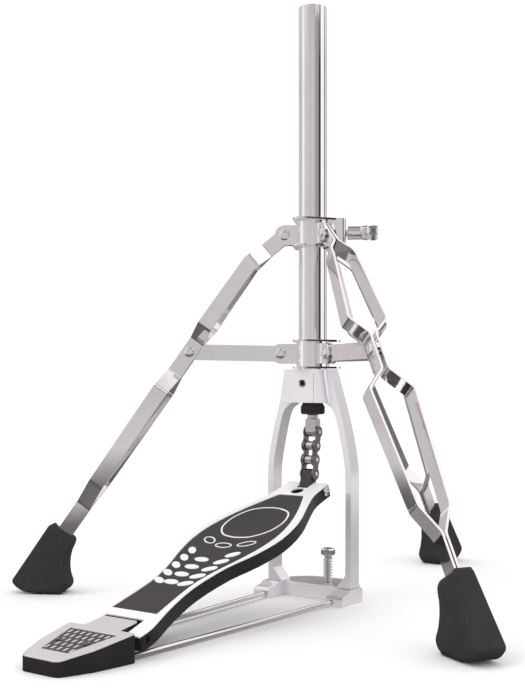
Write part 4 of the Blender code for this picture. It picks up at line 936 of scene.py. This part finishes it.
def makeSetScrew():
    sizes = screwSizes
    front, back, socket, radius = (sizes[key] for key in ("front", "back", "socket", "radius"))
    place = shift(z=sizes["height"]) @ acrossY
    profile = [(0.0, back), (radius, back), (radius, front + 0.4), (radius - 0.4, front),
               (socket + 0.2, front), (socket, front + 0.3), (socket, front + 2.4), (0.0, front + 2.6)]
    # the steel set screw sits nearly flush and takes the black nylon colour so that its hole reads dark:
    # painted shade
    addPiece("frameSetScrew", moved(turned(profile, 48), place), nylon, "stand", ["frame_set_screw"], "steel")
    inner, middle, outer = sizes["rim"]
    rim = [(inner, front + 0.2), (inner, front - 0.3), (middle, front - 0.6), (outer, front - 0.3),
           (outer, front + 0.2)]
    addPiece("setScrewRim", moved(turned(rim, 64, closed=True), place), chrome, "stand", slot="steel")


rodsSizes = {"radius": 2.1, "height": 3.6, "baseX": 36.0, "baseY": -14.0, "heelX": 25.5, "heelY": -286.3}


def makeRadiusRods():
    sizes = rodsSizes
    for side, name in ((1, "right"), (-1, "left")):
        start = Vector((side * sizes["baseX"], sizes["baseY"], sizes["height"]))
        end = Vector((side * sizes["heelX"], sizes["heelY"], sizes["height"]))
        run = end - start
        place = Matrix.Translation(start) @ run.to_track_quat("Z", "Y").to_matrix().to_4x4()
        rod = turned(rodProfile(sizes["radius"], 0.0, run.length), 40)
        addPiece(name + "RadiusRod", moved(rod, place), chrome, "stand", ["radius_rod_" + name], "steel")


spurSizes = {"x": 6.8, "y": 15.0, "shank": 2.6, "groove": 0.35, "tip": 0.8, "cone": 5.0, "pitch": 0.9,
             "turns": 32, "head": 6.2, "top": 43.7, "headHeight": 6.2, "ridges": 40, "ridge": 0.38}
spurSpringSizes = {"radius": 3.9, "wire": 0.5, "turns": 8.0, "steps": 24, "gap": 0.6}


def makeSpur():
    sizes = spurSizes
    place = shift(sizes["x"], sizes["y"])
    top, shank, head, cone = (sizes[key] for key in ("top", "shank", "head", "cone"))
    headLow = top - sizes["headHeight"]
    profile = [(0.0, sizes["tip"]), (shank, cone)]
    profile += threadProfile(cone + 0.4, sizes["pitch"], sizes["turns"], shank - sizes["groove"], shank)
    profile += [(shank, headLow - 2.2), (shank + 1.0, headLow - 2.2), (shank + 1.0, headLow),
                (head - 0.5, headLow), (head, headLow + 0.5), (head, top - 1.5), (head - 0.8, top - 0.5),
                (head - 2.2, top), (0.0, top)]
    addPiece("spurScrew", moved(turned(profile, 64), place), chrome, "spur", ["spur_screw"], "steel")
    grow("spurKnurl", ridgeTree, {
        "Count": sizes["ridges"], "Radius": head, "Ridge": sizes["ridge"],
        "Height": sizes["headHeight"] - 2.4, "Lift": headLow + 2.6}, chrome, place, "spur", slot="steel")
    makeSpring("spurSpring", "spur_spring", spurSpringSizes, sizes["x"], sizes["y"])


makeSetScrew()
makeRadiusRods()
makeSpur()
print("frame, base and spur ready")

# chain
chainSizes = {"pitch": 12.7, "lastTilt": 5.0, "pin": 1.98, "roller": 3.95, "rollerHalf": 3.95, "plate": 1.4,
              "radius": 5.4, "waist": 3.5, "gap": 0.3, "pinEnd": 1.1}
# the chain's four pins as (y, z): three are hinges, and the last hangs one pitch under the third
chainPins = [tuple(pivotOf("link_" + name + "_hinge").yz) for name in ("upper", "middle", "lower")]
lastDrop = math.radians(chainSizes["lastTilt"])
chainPins.append((chainPins[2][0] - chainSizes["pitch"] * math.sin(lastDrop),
                  chainPins[2][1] - chainSizes["pitch"] * math.cos(lastDrop)))


def linkOutline(upper, lower):
    # a figure-of-eight plate seen from the side, as (y, z)
    sizes = chainSizes
    run = Vector(lower) - Vector(upper)
    heading = math.degrees(math.atan2(run.y, run.x))
    spread = math.degrees(math.asin(sizes["waist"] / sizes["radius"]))
    start = circle(sizes["radius"], 20, upper, heading + spread, 360 - 2 * spread)
    end = circle(sizes["radius"], 20, lower, heading + 180 + spread, 360 - 2 * spread)
    return start + end


def pinShape(centre, radius, reach):
    rod = turned(rodProfile(radius, -reach, reach, 0.5), 32)
    return moved(rod, shift(0, centre[0], centre[1]) @ acrossX)


def makeChain():
    sizes = chainSizes
    for index, name in enumerate(("upper", "middle", "lower")):
        upper, lower = chainPins[index:index + 2]
        isOuter = name != "middle"
        face = sizes["rollerHalf"] + (sizes["plate"] + sizes["gap"] if isOuter else 0.0)
        outline = linkOutline(upper, lower)
        shapes = [moved(plate([outline], low, low + sizes["plate"]), acrossX)
                  for low in (face, -face - sizes["plate"])]
        addPiece(name + "Link", merged(shapes), chainSteel, "link_" + name, ["chain_link_" + name],
                 "chain", 0.3)
        if isOuter:
            radius, reach = sizes["pin"], face + sizes["plate"] + sizes["pinEnd"]
            ending, finish = "Pins", chrome
        else:
            radius, reach = sizes["roller"], sizes["rollerHalf"] - 0.1
            ending, finish = "Rollers", zinc
        rods = merged([pinShape(centre, radius, reach) for centre in (upper, lower)])
        addPiece(name + "Link" + ending, rods, finish, "link_" + name, slot="chain")


toggleSizes = {"half": 5.35, "radius": 4.6}


def makeToggle():
    top = chainPins[3]
    toe = pivotOf("toggle_hinge")
    low = (toe.y, toe.z)
    heading = math.degrees(math.atan2(top[1] - low[1], top[0] - low[0]))
    outline = circle(toggleSizes["radius"], 20, low, heading + 90, 180)
    outline += circle(toggleSizes["radius"], 20, top, heading - 90, 180)
    half = toggleSizes["half"]
    addPiece("toggleBlock", moved(plate([outline], -half, half), acrossX), nylon, "toggle_block",
             ["toggle"], "plastic", 0.7, 35.0, 3)


fromNode("clevis", "clevisBlock", zinc, "pull", "steel", 0.5, 3)
makeChain()
makeToggle()
print("chain ready")

# heel plate
fromNode("heel_plate", "heelPlate", blackCoat, "stand", "black_cast", 0.5)
fromNode("heel_cover", "heelCover", coverSilver, "stand", "silver", 0.35)
fromNode("heel_panel", "heelPanel", darkPlate, "stand", "panel", 0.2)

heelSizes = {"slope": 0.161, "rearY": -274.3, "rearZ": 21.2, "panelMiddleY": -301.5, "sink": 0.4,
             "screwX": 13.5, "screwY": -303.0}
heelBarSizes = {"Rows": 5, "Columns": 11, "Row gap": 7.2, "Column gap": 6.0, "Bar length": 4.6,
                "Bar width": 1.9, "Bar height": 0.5, "Wide half": 20.0, "Narrow half": 11.5,
                "Half length": 19.5}


def heelTop(y):
    return heelSizes["rearZ"] + heelSizes["slope"] * (y - heelSizes["rearY"])


def heelLean():
    # from a flat panel round the origin to the heel's slope
    y = heelSizes["panelMiddleY"]
    lean = Matrix.Rotation(math.atan(heelSizes["slope"]), 4, "X")
    return shift(0, y, heelTop(y) - heelSizes["sink"]) @ lean


def makeHeelDetails():
    sizes = heelSizes
    grow("heelBars", barTree, heelBarSizes, coverSilver, heelLean(), "stand", slot="silver", edge=0.12)
    z = heelTop(sizes["screwY"])
    profile = [(0.0, z - 5.0), (1.6, z - 5.0), (1.6, z + 0.2), (2.6, z + 0.2), (2.5, z + 0.4),
               (2.0, z + 0.7), (1.3, z + 0.8), (1.0, z + 0.2), (0.0, z + 0.1)]
    for side, name in ((1, "right"), (-1, "left")):
        place = shift(side * sizes["screwX"], sizes["screwY"])
        addPiece(name + "HeelScrew", moved(turned(profile, 40), place), chainSteel, "stand",
                 ["heel_screw_" + name], "steel")


pinSizes = {"reach": 31.4, "radius": 2.5, "socket": 1.4, "ringFace": 31.2, "ringOuter": 5.3,
            "ringInner": 3.7}


def hingeLine():
    # from the z axis to the board's hinge line
    hinge = pivotOf("board_hinge")
    return shift(0, hinge.y, hinge.z) @ acrossX


def makeHingePin():
    reach, radius, socket = pinSizes["reach"], pinSizes["radius"], pinSizes["socket"]
    half = [(radius, reach - 0.4), (radius - 0.4, reach), (socket, reach), (socket, reach - 1.5),
            (0.0, reach - 1.5)]
    profile = [(r, -h) for r, h in reversed(half)] + half
    addPiece("hingePin", moved(turned(profile, 48), hingeLine()), chainSteel, "stand", ["hinge_pin"], "steel")


def makeHingeRings():
    # raised rings on the outer ends of the board's barrels
    face, outer, inner = pinSizes["ringFace"], pinSizes["ringOuter"], pinSizes["ringInner"]
    section = [(outer, face), (outer, face + 1.0), (outer - 0.4, face + 1.4), (inner + 0.4, face + 1.4),
               (inner, face + 1.0), (inner, face)]
    shapes = []
    for side in (1, -1):
        ring = turned([(radius, side * height) for radius, height in section], 48, closed=True)
        shapes.append(moved(ring, hingeLine()))
    addPiece("hingeRings", merged(shapes), blackCoat, "board", slot="black_cast")


makeHeelDetails()
makeHingePin()
makeHingeRings()
print("heel ready")

# footboard
boardSizes = {"tilt": 18.302, "top": 5.8, "padStep": 0.5, "toeHalf": 21.0, "pinU": 265.2, "pinRise": 0.8}
fromNode("footboard", "footboardTray", blackCoat, "board", "black_cast", 0.6)
fromNode("footboard_trim", "footboardTrim", trimSilver, "board", "silver", 0.35)
fromNode("footboard_pad", "footboardPad", gripMat, "board", "pad", 0.2)


def boardPlace():
    hinge = pivotOf("board_hinge")
    return shift(0, hinge.y, hinge.z) @ turn(boardSizes["tilt"], "X")


def makeToePin():
    sizes = boardSizes
    edge = sizes["toeHalf"] + 0.3
    profile = [(0.0, -edge - 0.6), (1.8, -edge - 0.6), (2.2, -edge - 0.2), (2.2, edge), (4.2, edge),
               (4.5, edge + 0.3), (4.4, edge + 1.0), (3.9, edge + 1.7), (2.6, edge + 2.1),
               (0.0, edge + 2.2)]
    place = boardPlace() @ shift(0, sizes["pinU"], sizes["pinRise"]) @ acrossX
    addPiece("toePin", moved(turned(profile, 48), place), chrome, "board", ["toe_pin"], "steel")


gripSizes = {"thickness": 0.7, "lift": 0.25, "first": 72.2, "step": 13.1, "rows": 5, "middleX": -1.9,
             "middleLean": -3.0, "leftX": 14.2, "rightX": 12.2, "spread": 1.9, "lean": 29.0, "leanStep": 4.2,
             "leftHalves": (6.7, 3.2), "rightHalves": (6.6, 3.5), "middleHalves": (7.0, 3.5)}


def gripRows():
    # x, distance up the board, lean in degrees, half length, half width
    sizes = gripSizes
    rows = []
    for row in range(sizes["rows"]):
        along = sizes["first"] + sizes["step"] * row
        lean = sizes["lean"] + sizes["leanStep"] * row
        out = sizes["spread"] * row
        rows.append((-sizes["leftX"] - out, along, -lean, *sizes["leftHalves"]))
        rows.append((sizes["rightX"] + out, along, lean, *sizes["rightHalves"]))
        if row < sizes["rows"] - 1:
            rows.append((sizes["middleX"], along, sizes["middleLean"], *sizes["middleHalves"]))
    return rows


def makeGrips():
    # oval grips in three columns, leaning outwards at the sides
    rows = gripRows()
    mesh = bpy.data.meshes.new("gripPoints")
    mesh.from_pydata([(row[0], row[1], 0.0) for row in rows], [], [])
    columns = {"turn": [math.radians(row[2]) for row in rows], "long": [row[3] for row in rows],
               "wide": [row[4] for row in rows]}
    for name, values in columns.items():
        mesh.attributes.new(name, "FLOAT", "POINT").data.foreach_set("value", values)
    lift = shift(z=boardSizes["top"] - boardSizes["padStep"] + gripSizes["lift"] - 0.1)
    grow("gripOvals", studTree, {"Thickness": gripSizes["thickness"]}, trimSilver, boardPlace() @ lift,
         "board", slot="silver", edge=0.12, start=mesh)


outlineSizes = {"middle": 184.0, "line": 1.5, "rise": 0.3, "halfWidth": 29.0}
treadHalf = [(0.0, -31.0), (14.0, -27.5), (24.5, -15.0), (27.5, 0.0), (25.5, 13.0), (19.5, 24.0),
             (9.0, 29.6), (0.0, 31.0)]
# plain oval rings between the tread's line and the grips
ringSpots = [(-19.0, 145.0, -34.0, 8.2, 4.4), (0.0, 138.5, 0.0, 8.0, 4.6), (19.0, 145.0, 34.0, 8.2, 4.4)]


def makePadOutlines():
    sizes = outlineSizes
    top = boardSizes["top"] - boardSizes["padStep"]
    low, high = top - 0.1, top + sizes["rise"]
    rims = []
    for share in (1.0, 1.0 - sizes["line"] / sizes["halfWidth"]):
        right = smoothLine([(x * share, y * share) for x, y in treadHalf], 6)
        left = [(-x, y) for x, y in reversed(right[1:-1])]
        rims.append([(x, y + sizes["middle"]) for x, y in right + left])
    shapes = [plate(rims, low, high)]
    for x, along, lean, length, width in ringSpots:
        rims = [[(a * (length - inset), b * (width - inset)) for a, b in circle(1.0, 40)]
                for inset in (0.0, sizes["line"] * 0.8)]
        shapes.append(moved(plate(rims, low, high), shift(x, along) @ turn(lean)))
    addPiece("treadOutlines", moved(merged(shapes), boardPlace()), trimSilver, "board", slot="silver")


makeToePin()
makeGrips()
makePadOutlines()
print("footboard ready")

# floor, light and camera
stageSizes = {"floor": 6.0, "world": 1.08}
# place, size and power of each light
lights = {"key": ((-1.2, -1.6, 2.6), 1.6, 12.0), "fill": ((1.8, -0.6, 1.8), 1.4, 4.0)}


def makeFloor():
    floor = bmesh.new()
    half = stageSizes["floor"]
    corners = [floor.verts.new((x * half, y * half, 0.0)) for x, y in ((-1, -1), (1, -1), (1, 1), (-1, 1))]
    floor.faces.new(corners)
    made = newObject("floor", meshOf("floor", floor))
    made.data.materials.append(makeFloorPaint())


domeSizes = {"radius": 3.0, "rows": 20, "steps": 96, "glow": 1.05, "tint": (1.0, 0.955, 0.985)}
# grey of the studio by its bearing in degrees, seen only in polished metal: walls, then ceiling
wallTones = [(-180.0, 0.55), (-158.0, 0.55), (-149.0, 0.95), (-134.0, 0.95), (-126.0, 0.64), (-75.0, 0.54),
             (-58.0, 0.60), (-40.0, 0.50), (-33.0, 0.34), (-8.0, 0.30), (-3.0, 0.03), (10.0, 0.03),
             (15.0, 1.0), (46.0, 1.0), (52.0, 0.16), (60.0, 0.16), (66.0, 0.75), (90.0, 0.60),
             (104.0, 0.14), (122.0, 0.10), (134.0, 0.4), (160.0, 0.58), (180.0, 0.55)]
ceilingTones = [(-180.0, 0.8), (-120.0, 0.9), (-80.0, 0.45), (-40.0, 0.34), (-5.0, 0.42), (6.0, 1.0),
                (100.0, 1.0), (112.0, 0.2), (140.0, 0.2), (152.0, 0.8), (180.0, 0.8)]
floorTones = [(0.0, 0.62), (0.04, 0.30), (0.12, 0.10), (0.2, 0.16), (0.3, 0.62), (0.5, 0.55), (1.0, 0.5)]


def glowCard(name, shape, glowFrom):
    # a stage surface that only polished metal sees
    made = newObject(name, meshOf(name, shape))
    paint, nodes, shader = newFinish(name + " paint", specular=0.0)
    x, y, z = nodes.split(nodes.node("ShaderNodeTexCoord", output=3))
    shader.inputs["Base Color"].default_value = (0.0, 0.0, 0.0, 1.0)
    tinted = nodes.mixColour(glowFrom(nodes, x, y, z), (0.0, 0.0, 0.0), domeSizes["tint"])
    nodes.feed(shader.inputs["Emission Color"], tinted)
    shader.inputs["Emission Strength"].default_value = domeSizes["glow"]
    made.data.materials.append(paint)
    made.visible_camera = False
    made.visible_shadow = False
    made.visible_diffuse = False


def byBearing(nodes, x, y, tones):
    bearing = nodes.maths("ARCTAN2", y, x) / math.tau + 0.5
    return nodes.ramp(bearing, [((angle + 180.0) / 360.0, shade) for angle, shade in tones])


def domeGlow(nodes, x, y, z):
    wall, ceiling = byBearing(nodes, x, y, wallTones), byBearing(nodes, x, y, ceilingTones)
    rise = nodes.ramp(z / domeSizes["radius"], [(0.40, 0.0), (0.58, 1.0)])
    return wall + rise * (ceiling - wall)


def discGlow(nodes, x, y, z):
    reach = nodes.maths("SQRT", x * x + y * y) / domeSizes["radius"]
    return nodes.ramp(reach, floorTones)


def makeStudioGlow():
    # a round room of soft grey bands, and a grey disc just over the floor
    sizes = domeSizes
    radius, rows, steps = sizes["radius"], sizes["rows"], sizes["steps"]
    profile = circle(radius, rows, sweep=90.0)[:-1]
    glowCard("studioDome", turned(profile + [(0.0, radius)], steps), domeGlow)
    glowCard("studioDisc", turned([(0.0, 0.0004), (radius, 0.0004)], steps), discGlow)


def makeLight(name, place, size, power):
    data = bpy.data.lights.new(name, "AREA")
    data.size = size
    data.energy = power
    made = newObject(name, data)
    made.location = place
    aim = Vector((0.0, 0.0, 0.2)) - Vector(place)
    made.rotation_euler = aim.to_track_quat("-Z", "Y").to_euler()


def makeWorld():
    world = bpy.data.worlds.new("studio")
    world.use_nodes = True
    shade = stageSizes["world"]
    background = world.node_tree.nodes["Background"]
    background.inputs["Color"].default_value = (shade, shade * 0.99, shade, 1.0)
    background.inputs["Strength"].default_value = 1.0
    bpy.context.scene.world = world


cameraSizes = {"place": (0.5845, -0.8842, 0.2038), "aim": (-0.588, 0.809, 0.0), "lens": 60.04,
               "shift": (0.0023, 0.0325)}


def makeCamera():
    data = bpy.data.cameras.new("camera")
    data.sensor_width = 36.0
    data.lens = cameraSizes["lens"]
    data.shift_x, data.shift_y = cameraSizes["shift"]
    made = newObject("camera", data)
    made.location = cameraSizes["place"]
    made.rotation_euler = Vector(cameraSizes["aim"]).to_track_quat("-Z", "Y").to_euler()
    bpy.context.scene.camera = made


makeFloor()
makeStudioGlow()
for name, settings in lights.items():
    makeLight(name, *settings)
makeWorld()
makeCamera()
bpy.context.scene.view_settings.view_transform = "Standard"
print("stage ready")
